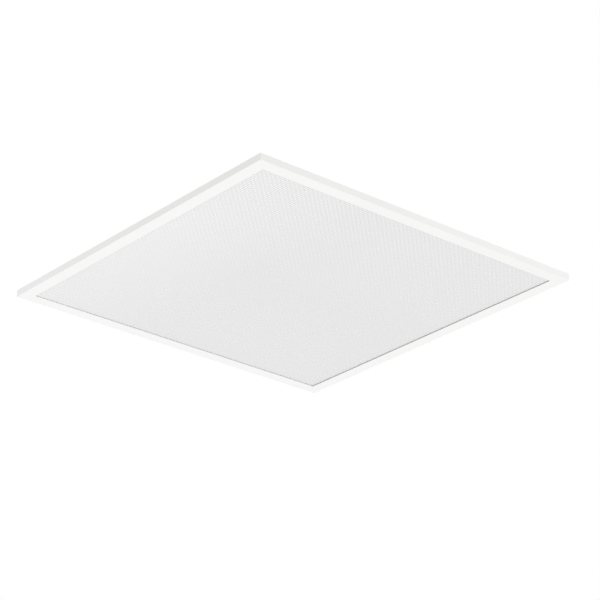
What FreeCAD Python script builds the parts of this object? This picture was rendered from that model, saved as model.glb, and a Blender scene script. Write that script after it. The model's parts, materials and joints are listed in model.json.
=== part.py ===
# A recessed ceiling light for a 600 mm lay-in grid: a flat, edge-lit panel with its driver box on the back.
# Millimetres. The origin is the middle of the square, on the plane of the frame's visible face, and +Z
# points up into the ceiling. The visible face looks down.
#
# From the room upwards: a frame of four mitred rails, a prismatic diffuser, a light film, a light guide lit
# from its left and right edges by two rows of LEDs, a reflector, two foam pads and a sheet-metal back plate.
# On the back plate stand the driver box with its hinged wiring lid, four fold-up grid clips and four hanger
# brackets.
import FreeCAD, Part
import math
import os

import Sketcher
from FreeCAD import Placement, Rotation, Vector

SHEET = "dims"

# name, value in millimetres (or a count), what it measures
DIMENSIONS = [
    ("panel_side", 595, "outside of the square frame"),
    ("face_width", 20.4, "visible width of the frame's face"),
    ("rim_height", 11, "height of the frame's outer side"),
    ("rail_wall", 1.2, "wall of the extruded rails"),
    ("flange_thick", 1.5, "thickness of the visible face"),
    ("rail_round", 0.4, "rounding of the visible face's two edges"),
    ("key_room", 5.5, "inside width of the rail's hollow, where the corner keys slide in"),
    ("key_slack", 0.1, "play of a corner key in the hollow"),
    ("key_leg", 46, "reach of a corner key's leg from the frame's outside"),
    ("seat_height", 10, "height where the back plate sits on the rails"),
    ("plate_thick", 0.6, "back plate sheet"),
    ("plate_slack", 0.2, "gap between the back plate and the rim"),
    ("bead_height", 1.2, "height of the back plate's stiffening beads"),
    ("bead_width", 12, "width of a bead at its foot"),
    ("bead_slope", 2, "how far a bead's side leans in"),
    ("edge_bead_inset", 62, "edge beads' middle, from the frame's outside"),
    ("edge_bead_length", 380, "length of an edge bead"),
    ("ray_bead_start", 150, "near end of a diagonal bead, from the centre"),
    ("ray_bead_end", 320, "far end of a diagonal bead, from the centre"),
    ("screw_step", 137.5, "spacing of the back plate's screws"),
    ("thread_radius", 1.4, "shank of the small screws"),
    ("thread_slack", 0.05, "radial play of a shank in its tapped hole"),
    ("hole_slack", 0.2, "radial play of a shank in a sheet"),
    ("head_radius", 2.4, "head of the small screws"),
    ("head_height", 1, "head of the small screws"),
    ("screw_length", 4.5, "shank of the small screws"),
    ("recess_radius", 1.1, "drive recess of a screw head"),
    ("recess_depth", 0.6, "drive recess of a screw head"),
    ("bracket_place", 200, "middle of a bracket along its rail"),
    ("bracket_screw_offset", 13.5, "a bracket's screw from its middle"),
    ("bracket_thick", 1, "bracket sheet"),
    ("bracket_half", 17, "half the length of a bracket's foot"),
    ("bracket_start", 1.5, "outer edge of a bracket's foot, from the frame's outside"),
    ("bracket_end", 16, "inner edge of a clip bracket's foot"),
    ("hanger_tab_half", 8, "half the width of a hanger's upright tab"),
    ("hanger_tab_height", 13, "height of a hanger's upright tab over its foot"),
    ("hanger_tab_inset", 27, "outer face of a hanger's tab, from the frame's outside"),
    ("hanger_hole_radius", 2.6, "hole for a suspension wire"),
    ("hanger_hole_height", 8, "height of that hole over the foot"),
    ("bend_inside", 1, "inside radius of a bend in sheet or strip"),
    ("strip_corner", 3, "rounded corners of clips and hangers"),
    ("hinge_inset", 11, "clip hinge axis, from the frame's outside"),
    ("knuckle_radius", 2.2, "outside of the clips' and the lid's knuckles"),
    ("clip_pin_radius", 1.2, "clip hinge pin"),
    ("pin_slack", 0.05, "radial play of a turning knuckle on its pin"),
    ("ear_slack", 0.02, "radial play of a pin in the part that holds it"),
    ("clip_lift", 0.1, "gap under a stowed clip"),
    ("clip_half", 9, "half the width of a grid clip"),
    ("clip_thick", 1, "spring strip of a grid clip"),
    ("clip_reach", 26, "length of a clip's leg from its hinge"),
    ("clip_hook", 18, "reach of a clip's hook over the tee, from its hinge"),
    ("clip_gap", 0.3, "gap between a clip and its bracket's ears"),
    ("ear_thick", 1.2, "bracket's ears"),
    ("ear_half", 3, "half the width of an ear"),
    ("pin_head_radius", 1.9, "clip pin's peened heads"),
    ("pin_head_height", 0.7, "clip pin's peened heads"),
    ("guide_gap", 0.3, "gap between the light guide and the rails' webs"),
    ("lit_gap", 2.3, "gap between a web and the light guide where the LEDs sit"),
    ("diffuser_thick", 1.5, "prismatic diffuser"),
    ("film_thick", 0.3, "light-spreading film"),
    ("guide_thick", 3, "light guide"),
    ("reflector_thick", 0.3, "white reflector"),
    ("lead_channel", 6.4, "gap between the two foam pads, where the leads run"),
    ("board_thick", 1, "LED board"),
    ("board_height", 6.2, "LED board"),
    ("board_lift", 0.7, "LED board's lower edge over the visible face's inside"),
    ("board_length", 560, "LED board"),
    ("led_count", 60, "LEDs on a board"),
    ("led_pitch", 9.2, "spacing of the LEDs"),
    ("led_depth", 0.7, "an LED's depth"),
    ("led_width", 3.5, "an LED along the board"),
    ("led_height", 2.8, "an LED across the board"),
    ("lead_radius", 0.6, "LED leads' insulation"),
    ("lead_lift", 0.8, "LED leads' middle over the reflector"),
    ("lead_spacing", 1.6, "LED leads side by side"),
    ("lead_fan", 5, "LED leads side by side at the output terminal"),
    ("grommet_place", 98, "lead grommet left of the centre"),
    ("grommet_bore", 3.6, "grommet"),
    ("grommet_neck", 5.4, "grommet"),
    ("grommet_flange", 7.2, "grommet"),
    ("grommet_lip", 1, "grommet's flanges"),
    ("box_length", 230, "driver box along X"),
    ("box_width", 84, "driver box along Y"),
    ("box_height", 30, "driver box's base without its covers"),
    ("box_wall", 2, "driver box's walls, floor and covers"),
    ("box_round", 3, "driver box's upright corners"),
    ("cover_round", 0.8, "upper edges of the driver box's covers"),
    ("partition_place", 45, "partition's middle, right of the centre"),
    ("cover_gap", 0.2, "half the gap between driver cover and wiring lid"),
    ("rib_depth", 3, "driver cover's locating rib"),
    ("post_radius", 4, "posts for the cover screws"),
    ("post_end_inset", 8, "cover posts from the end wall's outside"),
    ("post_side_inset", 8, "cover posts from the side wall's outside"),
    ("cover_head_radius", 3, "cover and box screws' heads"),
    ("cover_head_height", 2, "cover and box screws' heads"),
    ("cover_screw_length", 10, "cover screws' shanks"),
    ("box_screw_place", 104, "box fixing screws, along X from the centre"),
    ("box_screw_side", 20, "box fixing screws, along Y from the centre"),
    ("box_screw_length", 5, "box fixing screws' shanks"),
    ("foam_hole", 4, "clearance holes in the foam under the box screws"),
    ("vent_width", 3, "driver cover's vent slots"),
    ("vent_length", 34, "driver cover's vent slots"),
    ("vent_pitch", 8, "driver cover's vent slots"),
    ("vent_count", 9, "driver cover's vent slots"),
    ("window_half", 14, "half the width of the partition's wire window"),
    ("window_low", 21, "partition window's lower edge"),
    ("window_high", 27, "partition window's upper edge"),
    ("lid_lip", 3, "finger lip of the wiring lid beyond the box"),
    ("lid_pin_radius", 1, "lid hinge pin"),
    ("lid_axis_lift", 0.8, "lid hinge axis over the covers' top"),
    ("lid_knuckle_half", 30, "half the length of the lid's own knuckle"),
    ("cover_knuckle_start", 31, "cover's knuckles, from the middle"),
    ("cover_knuckle_end", 38, "cover's knuckles, from the middle"),
    ("knuckle_notch", 0.5, "room round a knuckle in the other plate"),
    ("tab_near", 18, "near edge of a locating tab of the lid, from the middle"),
    ("tab_far", 30, "far edge of a locating tab of the lid, from the middle"),
    ("tab_depth", 4.5, "reach of the lid's locating tabs under the lid"),
    ("tab_gap", 1, "locating tabs from the end wall's inside"),
    ("pcb_start", -88, "driver board's left edge"),
    ("pcb_end", 32, "driver board's right edge"),
    ("pcb_half", 33, "half the driver board's width"),
    ("pcb_thick", 1.6, "driver board"),
    ("pcb_lift", 5, "driver board over the box floor"),
    ("pcb_hole_inset", 4, "driver board's screw holes from its edges"),
    ("stand_radius", 3, "driver board's standoffs"),
    ("fuse_x", 14, "fuse, right of the centre"),
    ("fuse_y", -24, "fuse, behind the centre"),
    ("fuse_radius", 4, "fuse"),
    ("fuse_height", 8, "fuse"),
    ("choke_x", 14, "mains choke, right of the centre"),
    ("choke_half_x", 7, "choke's base along X"),
    ("choke_half_y", 8, "choke's base along Y"),
    ("choke_foot", 4, "choke's base"),
    ("choke_coil_radius", 4.6, "choke's two coils"),
    ("choke_coil_height", 13, "choke's two coils"),
    ("choke_coil_y", 5, "middle of a choke's coil, from its own middle"),
    ("bulk_x", -6, "bulk capacitor, right of the centre"),
    ("bulk_y", 20, "bulk capacitor, behind the centre"),
    ("bulk_radius", 7, "bulk capacitor"),
    ("bulk_height", 18, "bulk capacitor"),
    ("crimp_depth", 0.5, "crimped neck of a capacitor's can"),
    ("crimp_width", 1.2, "crimped neck of a capacitor's can"),
    ("crimp_lift", 1.8, "crimped neck over the board"),
    ("core_x", -28, "transformer, right of the centre"),
    ("core_half_x", 13, "transformer core along X"),
    ("core_half_y", 9, "transformer core along Y"),
    ("core_lift", 2, "transformer core over the board"),
    ("core_height", 16, "transformer core"),
    ("core_leg", 3.5, "outer legs of the transformer core"),
    ("core_yoke", 3, "yokes of the transformer core"),
    ("winding_gap", 0.5, "winding from the core's legs"),
    ("winding_reach", 4, "winding beyond the core's sides"),
    ("bobbin_foot", 3, "bobbin's feet along Y"),
    ("sink_start", -22, "heatsink's left edge"),
    ("sink_end", 6, "heatsink's right edge"),
    ("sink_y", -28, "heatsink's face that the transistor sits on"),
    ("sink_thick", 2, "heatsink plate"),
    ("sink_height", 18, "heatsink plate"),
    ("sink_lip", 3, "heatsink's folded lip"),
    ("switch_x", -8, "power transistor's middle"),
    ("switch_half", 5, "half the power transistor's width"),
    ("switch_thick", 4.5, "power transistor"),
    ("switch_lift", 1, "power transistor over the board"),
    ("switch_height", 14, "power transistor"),
    ("can_x", -56, "output capacitors, right of the centre"),
    ("can_y", 20, "output capacitors, to both sides of the centre"),
    ("can_radius", 5, "output capacitors"),
    ("can_height", 16, "output capacitors"),
    ("drum_x", -60, "output inductor, right of the centre"),
    ("drum_radius", 7, "output inductor's end plates"),
    ("drum_coil_radius", 5.5, "output inductor's coil"),
    ("drum_plate", 2, "output inductor's end plates"),
    ("drum_height", 11, "output inductor"),
    ("wire_level", 24, "height of the wires that enter the terminals"),
    ("output_start", -88, "output terminal's left face"),
    ("output_length", 12, "output terminal along X"),
    ("output_half", 11, "half the output terminal's width"),
    ("output_pocket", 4, "depth of the output terminal's wire holes"),
    ("output_height", 10, "output terminal"),
    ("block_start", 52, "mains terminal block's left face"),
    ("block_length", 20, "mains terminal block along X"),
    ("block_half", 17, "half the mains terminal block's width"),
    ("block_height", 18, "mains terminal block"),
    ("pole_pitch", 10, "mains terminal block's poles"),
    ("pole_radius", 1.9, "wire hole of a pole"),
    ("pole_depth", 9, "wire hole of a pole"),
    ("funnel_radius", 2.7, "funnel at a wire hole's mouth"),
    ("funnel_depth", 1.5, "funnel at a wire hole's mouth"),
    ("pole_level", 19, "height of the wire holes"),
    ("button_length", 6, "release button along X"),
    ("button_width", 5, "release button along Y"),
    ("button_height", 8, "release button"),
    ("button_stand", 2.6, "how far a released button stands out of the block"),
    ("button_travel", 1.5, "how far a button goes in"),
    ("button_slack", 0.1, "play round a button"),
    ("button_place", 64, "release buttons' middle along X"),
    ("header_start", 21, "input header's left face"),
    ("header_length", 10, "input header along X"),
    ("header_height", 10, "input header"),
    ("link_radius", 1.1, "mains link wires"),
    ("earth_place", 58, "earth screw along X"),
    ("earth_side", 31, "earth screw along Y"),
    ("earth_level", 16.5, "height of the earth lead"),
    ("tag_radius", 4.2, "earth tag's ring"),
    ("tag_thick", 1, "earth tag"),
    ("tag_half", 1.5, "half the width of the earth tag's neck"),
    ("tag_reach", 5, "earth tag's neck, from its ring's middle"),
    ("gland_level", 26.6, "height of the cable gland's axis"),
    ("gland_bore", 5.5, "gland body's bore"),
    ("gland_thread", 7.9, "gland body's shank"),
    ("gland_flats", 20, "gland body and lock nut across the flats"),
    ("gland_flange", 4, "gland body's hexagon"),
    ("gland_inside", 10, "gland shank's reach from the wall's outside into the box"),
    ("gland_outside", 12.5, "gland body's reach from the wall's outside"),
    ("gland_outer_thread", 7.4, "gland body's outer thread"),
    ("locknut_thick", 4.5, "gland's lock nut"),
    ("cable_radius", 4.5, "seal's bore, which takes the mains cable"),
    ("seal_length", 10, "gland's seal"),
    ("nut_length", 14, "gland's dome nut"),
    ("nut_radius", 9.6, "gland's dome nut"),
    ("nut_mouth", 5.2, "mouth of the dome nut"),
    ("nut_ribs", 12, "grip ribs of the dome nut"),
    ("nut_rib_half", 0.8, "half the width of a grip rib"),
    ("nut_rib_height", 0.6, "grip rib"),
    ("nut_crown", 3, "dome nut's crown"),
    ("nut_shoulder", 2, "dome nut's shoulder before the crown"),
    ("nut_lip", 1.2, "wall round the dome nut's mouth"),
]


class Size:
    """A length or count: its number now, and the sheet expression that stands for it."""

    def __init__(self, number, text=None):
        self.number = float(number)
        self.text = text or repr(float(number))

    def _with(self, other, sign, number):
        return Size(number, f"({self.text} {sign} {other.text})")

    def __add__(self, other):
        other = as_size(other)
        return self._with(other, "+", self.number + other.number)

    def __sub__(self, other):
        other = as_size(other)
        return self._with(other, "-", self.number - other.number)

    def __mul__(self, other):
        other = as_size(other)
        return self._with(other, "*", self.number * other.number)

    def __truediv__(self, other):
        other = as_size(other)
        return self._with(other, "/", self.number / other.number)

    def __radd__(self, other):
        return as_size(other) + self

    def __rsub__(self, other):
        return as_size(other) - self

    def __rmul__(self, other):
        return as_size(other) * self

    def __neg__(self):
        return as_size(0) - self


def as_size(value):
    """A plain number as a Size, or a Size as it is."""
    return value if isinstance(value, Size) else Size(value)


class Dimensions:
    """The sheet's dimensions by name, each as a Size."""

    def __init__(self, document):
        sheet = document.addObject("Spreadsheet::Sheet", SHEET)
        for row, (name, number, words) in enumerate(DIMENSIONS, start=1):
            sheet.set(f"A{row}", name)
            sheet.set(f"B{row}", str(number))
            sheet.set(f"C{row}", words)
            sheet.setAlias(f"B{row}", name)
            setattr(self, name, Size(number, f"{SHEET}.{name}"))
        document.recompute()


doc = FreeCAD.newDocument("recessed_light")
d = Dimensions(doc)
kept = []

# places that several pieces share
HALF = d.panel_side / 2
WEB = 2 * d.rail_wall + d.key_room
SCREW_INSET = d.rail_wall + d.key_room / 2
PLATE_TOP = d.seat_height + d.plate_thick
DIFFUSER_TOP = d.flange_thick + d.diffuser_thick
FILM_TOP = DIFFUSER_TOP + d.film_thick
GUIDE_TOP = FILM_TOP + d.guide_thick
REFLECTOR_TOP = GUIDE_TOP + d.reflector_thick
STACK_X = HALF - WEB - d.lit_gap
STACK_Y = HALF - WEB - d.guide_gap
LEAD_LEVEL = REFLECTOR_TOP + d.lead_lift
HOLE = d.thread_radius + d.hole_slack
TAPPED = d.thread_radius + d.thread_slack
BOX_X = d.box_length / 2
BOX_Y = d.box_width / 2
FLOOR = PLATE_TOP + d.box_wall
BOX_TOP = PLATE_TOP + d.box_height
COVER_TOP = BOX_TOP + d.box_wall
HINGE_LEVEL = PLATE_TOP + d.bracket_thick + d.clip_lift + d.knuckle_radius
LID_AXIS_LEVEL = COVER_TOP + d.lid_axis_lift
POST_X_LEFT = -BOX_X + d.post_end_inset
POST_X_RIGHT = d.partition_place - d.post_end_inset
POST_Y = BOX_Y - d.post_side_inset
PCB_LOW = FLOOR + d.pcb_lift
PCB_TOP = PCB_LOW + d.pcb_thick


def bind(thing, prop, value):
    """Binds one property of an object to a Size."""
    thing.setExpression(prop, as_size(value).text)


def keep(thing, label):
    """Marks an object as a sub-part and gives it the name that its file takes."""
    thing.Label = label
    kept.append(thing)
    return thing


class Outline:
    """A sketch on one of a body's own planes, with every point bound to the sheet."""

    NORMALS = {"XY": 1, "YZ": 1, "XZ": -1}

    def __init__(self, body, plane="XY", lift=0, turn=0):
        self.plane = plane
        self.sketch = body.newObject("Sketcher::SketchObject", f"{body.Name}_outline")
        role = f"{plane}_Plane"
        face = next(f for f in body.Origin.OriginFeatures if f.Role == role)
        self.sketch.AttachmentSupport = [(face, "")]
        self.sketch.MapMode = "FlatFace"
        self.sketch.AttachmentOffset = Placement(Vector(), Rotation(Vector(0, 0, 1), turn))
        bind(self.sketch, "AttachmentOffset.Base.z", as_size(lift) * self.NORMALS[plane])

    def _fix(self, geometry, point, x, y):
        for kind, value in (("DistanceX", as_size(x)), ("DistanceY", as_size(y))):
            at = Sketcher.Constraint(kind, -1, 1, geometry, point, value.number)
            number = self.sketch.addConstraint(at)
            bind(self.sketch, f"Constraints[{number}]", value)

    def points(self, *points):
        """A closed run of straight lines through the points."""
        corners = [(as_size(x), as_size(y)) for x, y in points]
        flat = [Vector(x.number, y.number, 0) for x, y in corners]
        lines = [
            self.sketch.addGeometry(Part.LineSegment(start, end), False)
            for start, end in zip(flat, flat[1:] + flat[:1])
        ]
        for line, following in zip(lines, lines[1:] + lines[:1]):
            self.sketch.addConstraint(Sketcher.Constraint("Coincident", line, 2, following, 1))
        for line, (x, y) in zip(lines, corners):
            self._fix(line, 1, x, y)
        return self

    def box(self, x0, y0, x1, y1):
        """A rectangle between two corners."""
        return self.points((x0, y0), (x1, y0), (x1, y1), (x0, y1))

    def circle(self, x, y, radius):
        """A circle."""
        x, y, radius = as_size(x), as_size(y), as_size(radius)
        ring = Part.Circle(Vector(x.number, y.number, 0), Vector(0, 0, 1), radius.number)
        number = self.sketch.addGeometry(ring, False)
        self._fix(number, 3, x, y)
        size = self.sketch.addConstraint(Sketcher.Constraint("Radius", number, radius.number))
        bind(self.sketch, f"Constraints[{size}]", radius)
        return self

    def slot(self, x, y, long, wide):
        """A bead or vent outline along X, with cropped corners."""
        x, y, long, wide = (as_size(v) for v in (x, y, long, wide))
        crop = wide / 4
        a, b = long / 2, wide / 2
        return self.points(
            (x - a + crop, y - b), (x + a - crop, y - b), (x + a, y - b + crop), (x + a, y + b - crop),
            (x + a - crop, y + b), (x - a + crop, y + b), (x - a, y + b - crop), (x - a, y - b + crop),
        )


NEAR = 1e-4


def along_edge(direction, **where):
    """A test for edges that run along an axis and lie at the given x, y or z in the body's own frame."""
    places = {axis: as_size(value).number for axis, value in where.items()}

    def wanted(a, b):
        crosswise = [axis for axis in "xyz" if axis != direction]
        straight = all(abs(getattr(a, axis) - getattr(b, axis)) < NEAR for axis in crosswise)
        return straight and all(abs(getattr(a, axis) - at) < NEAR for axis, at in places.items())

    return wanted


class Piece:
    """A sub-part built as a body: outlines padded, cut, revolved, rounded and repeated."""

    def __init__(self, label, x=0, y=0, z=0, turn=0):
        self.body = keep(doc.addObject("PartDesign::Body", label), label)
        self.body.Placement = Placement(Vector(), Rotation(Vector(0, 0, 1), turn))
        for axis, value in (("x", x), ("y", y), ("z", z)):
            bind(self.body, f"Placement.Base.{axis}", value)

    def outline(self, plane="XY", lift=0, turn=0):
        """A new outline on one of the body's planes, lift along that plane's axis."""
        return Outline(self.body, plane, lift, turn)

    def _feature(self, kind, outline, length, towards, both, lean):
        """A pad or pocket; towards is +1 or -1 along the plane's axis, lean is the taper in degrees."""
        before = self.body.Shape.Volume if self.body.Tip else 0.0
        feature = self.body.newObject(f"PartDesign::{kind}", f"{self.body.Name}_{kind.lower()}")
        feature.Profile = (outline.sketch, [""])
        bind(feature, "Length", length)
        own = outline.NORMALS[outline.plane] * (1 if kind == "Pad" else -1)
        if both:
            feature.SideType = "Symmetric"
        else:
            feature.Reversed = towards != own
        feature.TaperAngle = lean
        doc.recompute()
        grown = self.body.Shape.Volume - before
        if (grown > 0) != (kind == "Pad") or abs(grown) < NEAR:
            raise RuntimeError(f"{self.body.Label}: {feature.Name} changes the volume by {grown:.4f}")
        return feature

    def pad(self, outline, length, towards=1, both=False, lean=0):
        """Adds the outline's prism."""
        return self._feature("Pad", outline, length, towards, both, lean)

    def cut(self, outline, length, towards=-1, both=False, lean=0):
        """Takes the outline's prism away."""
        return self._feature("Pocket", outline, length, towards, both, lean)

    def revolve(self, outline, axis="V_Axis"):
        """Turns the outline round its own vertical (V_Axis) or horizontal (H_Axis) line."""
        feature = self.body.newObject("PartDesign::Revolution", f"{self.body.Name}_revolution")
        feature.Profile = (outline.sketch, [""])
        feature.ReferenceAxis = (outline.sketch, [axis])
        feature.Angle = 360
        doc.recompute()
        return feature

    def round(self, radius, wanted):
        """Fillets the straight edges whose two ends pass the wanted test."""
        base = self.body.Tip
        names = [
            f"Edge{number}"
            for number, edge in enumerate(base.Shape.Edges, start=1)
            if len(edge.Vertexes) == 2 and wanted(*(corner.Point for corner in edge.Vertexes))
        ]
        feature = self.body.newObject("PartDesign::Fillet", f"{self.body.Name}_fillet")
        feature.Base = (base, names)
        bind(feature, "Radius", radius)
        doc.recompute()
        return feature

    def _axis(self, role):
        return (next(f for f in self.body.Origin.OriginFeatures if f.Role == role), [""])

    def ring(self, features, count):
        """Repeats features round the body's Z axis."""
        pattern = self.body.newObject("PartDesign::PolarPattern", f"{self.body.Name}_ring")
        pattern.Originals = features
        pattern.Axis = self._axis("Z_Axis")
        pattern.Angle = 360
        bind(pattern, "Occurrences", count)
        self.body.Tip = pattern
        doc.recompute()
        return pattern

    def row(self, features, role, pitch, count):
        """Repeats features along one of the body's axes, pitch apart."""
        pattern = self.body.newObject("PartDesign::LinearPattern", f"{self.body.Name}_row")
        pattern.Originals = features
        pattern.Direction = self._axis(role)
        bind(pattern, "Length", as_size(pitch) * (as_size(count) - 1))
        bind(pattern, "Occurrences", count)
        self.body.Tip = pattern
        doc.recompute()
        return pattern


def primitive(kind, name, sizes, x, y, z):
    """A Part primitive with its sizes and place bound to the sheet."""
    thing = doc.addObject(f"Part::{kind}", name)
    for prop, value in sizes.items():
        bind(thing, prop, value)
    for axis, value in (("x", x), ("y", y), ("z", z)):
        bind(thing, f"Placement.Base.{axis}", value)
    return thing


def block(name, x0, x1, y0, y1, z0, z1):
    """A box between six planes."""
    sides = {"Length": as_size(x1) - x0, "Width": as_size(y1) - y0, "Height": as_size(z1) - z0}
    return primitive("Box", name, sides, x0, y0, z0)


AXIS_TURNS = {
    "X": Rotation(Vector(0, 1, 0), 90),
    "Y": Rotation(Vector(1, 0, 0), -90),
    "Z": Rotation(),
}


def rod(name, axis, radius, length, x, y, z):
    """A cylinder that starts at a point and runs along +X, +Y or +Z."""
    thing = doc.addObject("Part::Cylinder", name)
    thing.Placement = Placement(Vector(), AXIS_TURNS[axis])
    bind(thing, "Radius", radius)
    bind(thing, "Height", length)
    for part, value in (("x", x), ("y", y), ("z", z)):
        bind(thing, f"Placement.Base.{part}", value)
    return thing


def prism(name, axis, flats, length, x, y, z):
    """A hexagonal bar, flats across, that starts at a point and runs along an axis."""
    thing = doc.addObject("Part::Prism", name)
    thing.Polygon = 6
    thing.Placement = Placement(Vector(), AXIS_TURNS[axis])
    bind(thing, "Circumradius", as_size(flats) / math.sqrt(3))
    bind(thing, "Height", length)
    for part, value in (("x", x), ("y", y), ("z", z)):
        bind(thing, f"Placement.Base.{part}", value)
    return thing


def less(name, base, *tools):
    """The base without the tools."""
    for number, tool in enumerate(tools):
        step = doc.addObject("Part::Cut", f"{name}_less{number}")
        step.Base = base
        step.Tool = tool
        base = step
    return base


def joined(name, *shapes):
    """Several shapes fused into one solid."""
    thing = doc.addObject("Part::MultiFuse", name)
    thing.Shapes = list(shapes)
    thing.Refine = True
    return thing


def group(name, *shapes):
    """Several separate solids in one object."""
    thing = doc.addObject("Part::Compound", name)
    thing.Links = list(shapes)
    return thing


# ------------------------------------------------------------------ the frame

PERIMETER_STEPS = (-2, -1, 0, 1, 2)


def bracket_screw_places():
    """Places along a rail of the screws that hold the brackets."""
    return [
        side * d.bracket_place + offset * d.bracket_screw_offset
        for side in (-1, 1)
        for offset in (-1, 1)
    ]


def make_rail(label, turn):
    """One extruded rail with its mitred ends, running along X at the front before its turn."""
    rail = Piece(label, turn=turn)
    profile = rail.outline("YZ")
    profile.points(
        (-HALF, 0),
        (-HALF + d.face_width, 0),
        (-HALF + d.face_width, d.flange_thick),
        (-HALF + WEB, d.flange_thick),
        (-HALF + WEB, d.seat_height),
        (-HALF + d.rail_wall, d.seat_height),
        (-HALF + d.rail_wall, d.rim_height),
        (-HALF, d.rim_height),
    )
    profile.box(
        -HALF + d.rail_wall,
        d.flange_thick,
        -HALF + WEB - d.rail_wall,
        d.seat_height - d.rail_wall,
    )
    rail.pad(profile, d.panel_side, both=True)
    rail.round(d.rail_round, along_edge("x", z=0))
    beyond = d.face_width + 1
    mitres = rail.outline("XY", lift=d.rim_height)
    for side in (-1, 1):
        mitres.points(
            (side * HALF, -HALF),
            (side * HALF, -HALF + beyond),
            (side * (HALF - beyond), -HALF + beyond),
        )
    rail.cut(mitres, d.rim_height)
    holes = rail.outline("XY", lift=d.seat_height)
    for step in PERIMETER_STEPS:
        holes.circle(step * d.screw_step, -HALF + SCREW_INSET, TAPPED)
    for place in bracket_screw_places():
        holes.circle(place, -HALF + SCREW_INSET, TAPPED)
    rail.cut(holes, d.rail_wall)


def make_corner_keys():
    """Four cast L-shaped keys that slide into the rails' hollows and hold the mitres together."""
    keys = Piece("corner_keys")
    outer = HALF - d.rail_wall - d.key_slack
    inner = HALF - d.rail_wall - d.key_room + d.key_slack
    end = HALF - d.key_leg
    shape = keys.outline("XY", lift=d.flange_thick + d.key_slack)
    shape.points((outer, outer), (end, outer), (end, inner), (inner, inner), (inner, end), (outer, end))
    height = d.seat_height - d.rail_wall - d.flange_thick - 2 * d.key_slack
    solid = keys.pad(shape, height)
    holes = keys.outline("XY", lift=d.flange_thick + d.key_slack + height)
    corner_screw = 2 * d.screw_step
    holes.circle(corner_screw, HALF - SCREW_INSET, TAPPED)
    holes.circle(HALF - SCREW_INSET, corner_screw, TAPPED)
    tapped = keys.cut(holes, height)
    keys.ring([solid, tapped], 4)


def add_screws(piece, places, top, head_radius, head_height, shank_length):
    """Pan-head screws with a drive recess, heads standing on a plane; returns their features."""
    heads = piece.outline("XY", lift=top)
    shanks = piece.outline("XY", lift=top)
    drives = piece.outline("XY", lift=as_size(top) + head_height)
    for x, y in places:
        heads.circle(x, y, head_radius)
        shanks.circle(x, y, d.thread_radius)
        drives.circle(x, y, d.recess_radius)
    return [
        piece.pad(heads, head_height),
        piece.pad(shanks, shank_length, towards=-1),
        piece.cut(drives, d.recess_depth),
    ]


def make_panel_screws():
    """The screws round the back plate, and those that hold the brackets over it."""
    screws = Piece("panel_screws")
    row = -HALF + SCREW_INSET
    plain = [(step * d.screw_step, row) for step in PERIMETER_STEPS]
    raised = [(place, row) for place in bracket_screw_places()]
    features = add_screws(screws, plain, PLATE_TOP, d.head_radius, d.head_height, d.screw_length)
    over = PLATE_TOP + d.bracket_thick
    features += add_screws(screws, raised, over, d.head_radius, d.head_height, d.screw_length)
    screws.ring(features, 4)


# ------------------------------------------------------------------ the optical stack

def make_sheets():
    """The flat sheets between the visible face and the foam."""
    layers = [
        ("prismatic_diffuser", d.flange_thick, DIFFUSER_TOP),
        ("light_film", DIFFUSER_TOP, FILM_TOP),
        ("light_guide", FILM_TOP, GUIDE_TOP),
        ("reflector", GUIDE_TOP, REFLECTOR_TOP),
    ]
    for label, low, high in layers:
        keep(block(label, -STACK_X, STACK_X, -STACK_Y, STACK_Y, low, high), label)


def make_foam_pads():
    """Two foam pads that press the stack down, with the leads' channel between them."""
    for label, side in (("foam_pad_front", -1), ("foam_pad_back", 1)):
        pad = Piece(label)
        shape = pad.outline("XY", lift=REFLECTOR_TOP)
        shape.box(-STACK_X, side * d.lead_channel / 2, STACK_X, side * STACK_Y)
        pad.pad(shape, d.seat_height - REFLECTOR_TOP)
        holes = pad.outline("XY", lift=d.seat_height)
        for x in (-1, 1):
            holes.circle(x * d.box_screw_place, side * d.box_screw_side, d.foam_hole)
        pad.cut(holes, d.seat_height - REFLECTOR_TOP)
        grommet = pad.outline("XY", lift=d.seat_height)
        grommet.circle(-d.grommet_place, 0, d.grommet_flange + d.hole_slack)
        pad.cut(grommet, d.seat_height - REFLECTOR_TOP)
        if side > 0:
            earth = pad.outline("XY", lift=d.seat_height)
            earth.circle(d.earth_place, d.earth_side, d.foam_hole)
            pad.cut(earth, d.seat_height - REFLECTOR_TOP)


def make_led_boards():
    """A board with a row of LEDs on the left and right rails' webs."""
    low = d.flange_thick + d.board_lift
    middle = FILM_TOP + d.guide_thick / 2
    for name, side in (("left", -1), ("right", 1)):
        face = side * (HALF - WEB)
        front = side * (HALF - WEB - d.board_thick)
        start, end = (face, front) if side < 0 else (front, face)
        label = f"led_board_{name}"
        half = d.board_length / 2
        keep(block(label, start, end, -half, half, low, low + d.board_height), label)

        leds = Piece(f"leds_{name}")
        first = -d.led_pitch * (d.led_count - 1) / 2
        wide, high = d.led_width / 2, d.led_height / 2
        chip = leds.outline("YZ", lift=front)
        chip.box(first - wide, middle - high, first + wide, middle + high)
        body = leds.pad(chip, d.led_depth, towards=-side)
        leds.row([body], "Y_Axis", d.led_pitch, d.led_count)


# ------------------------------------------------------------------ the back plate and what stands on it

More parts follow.
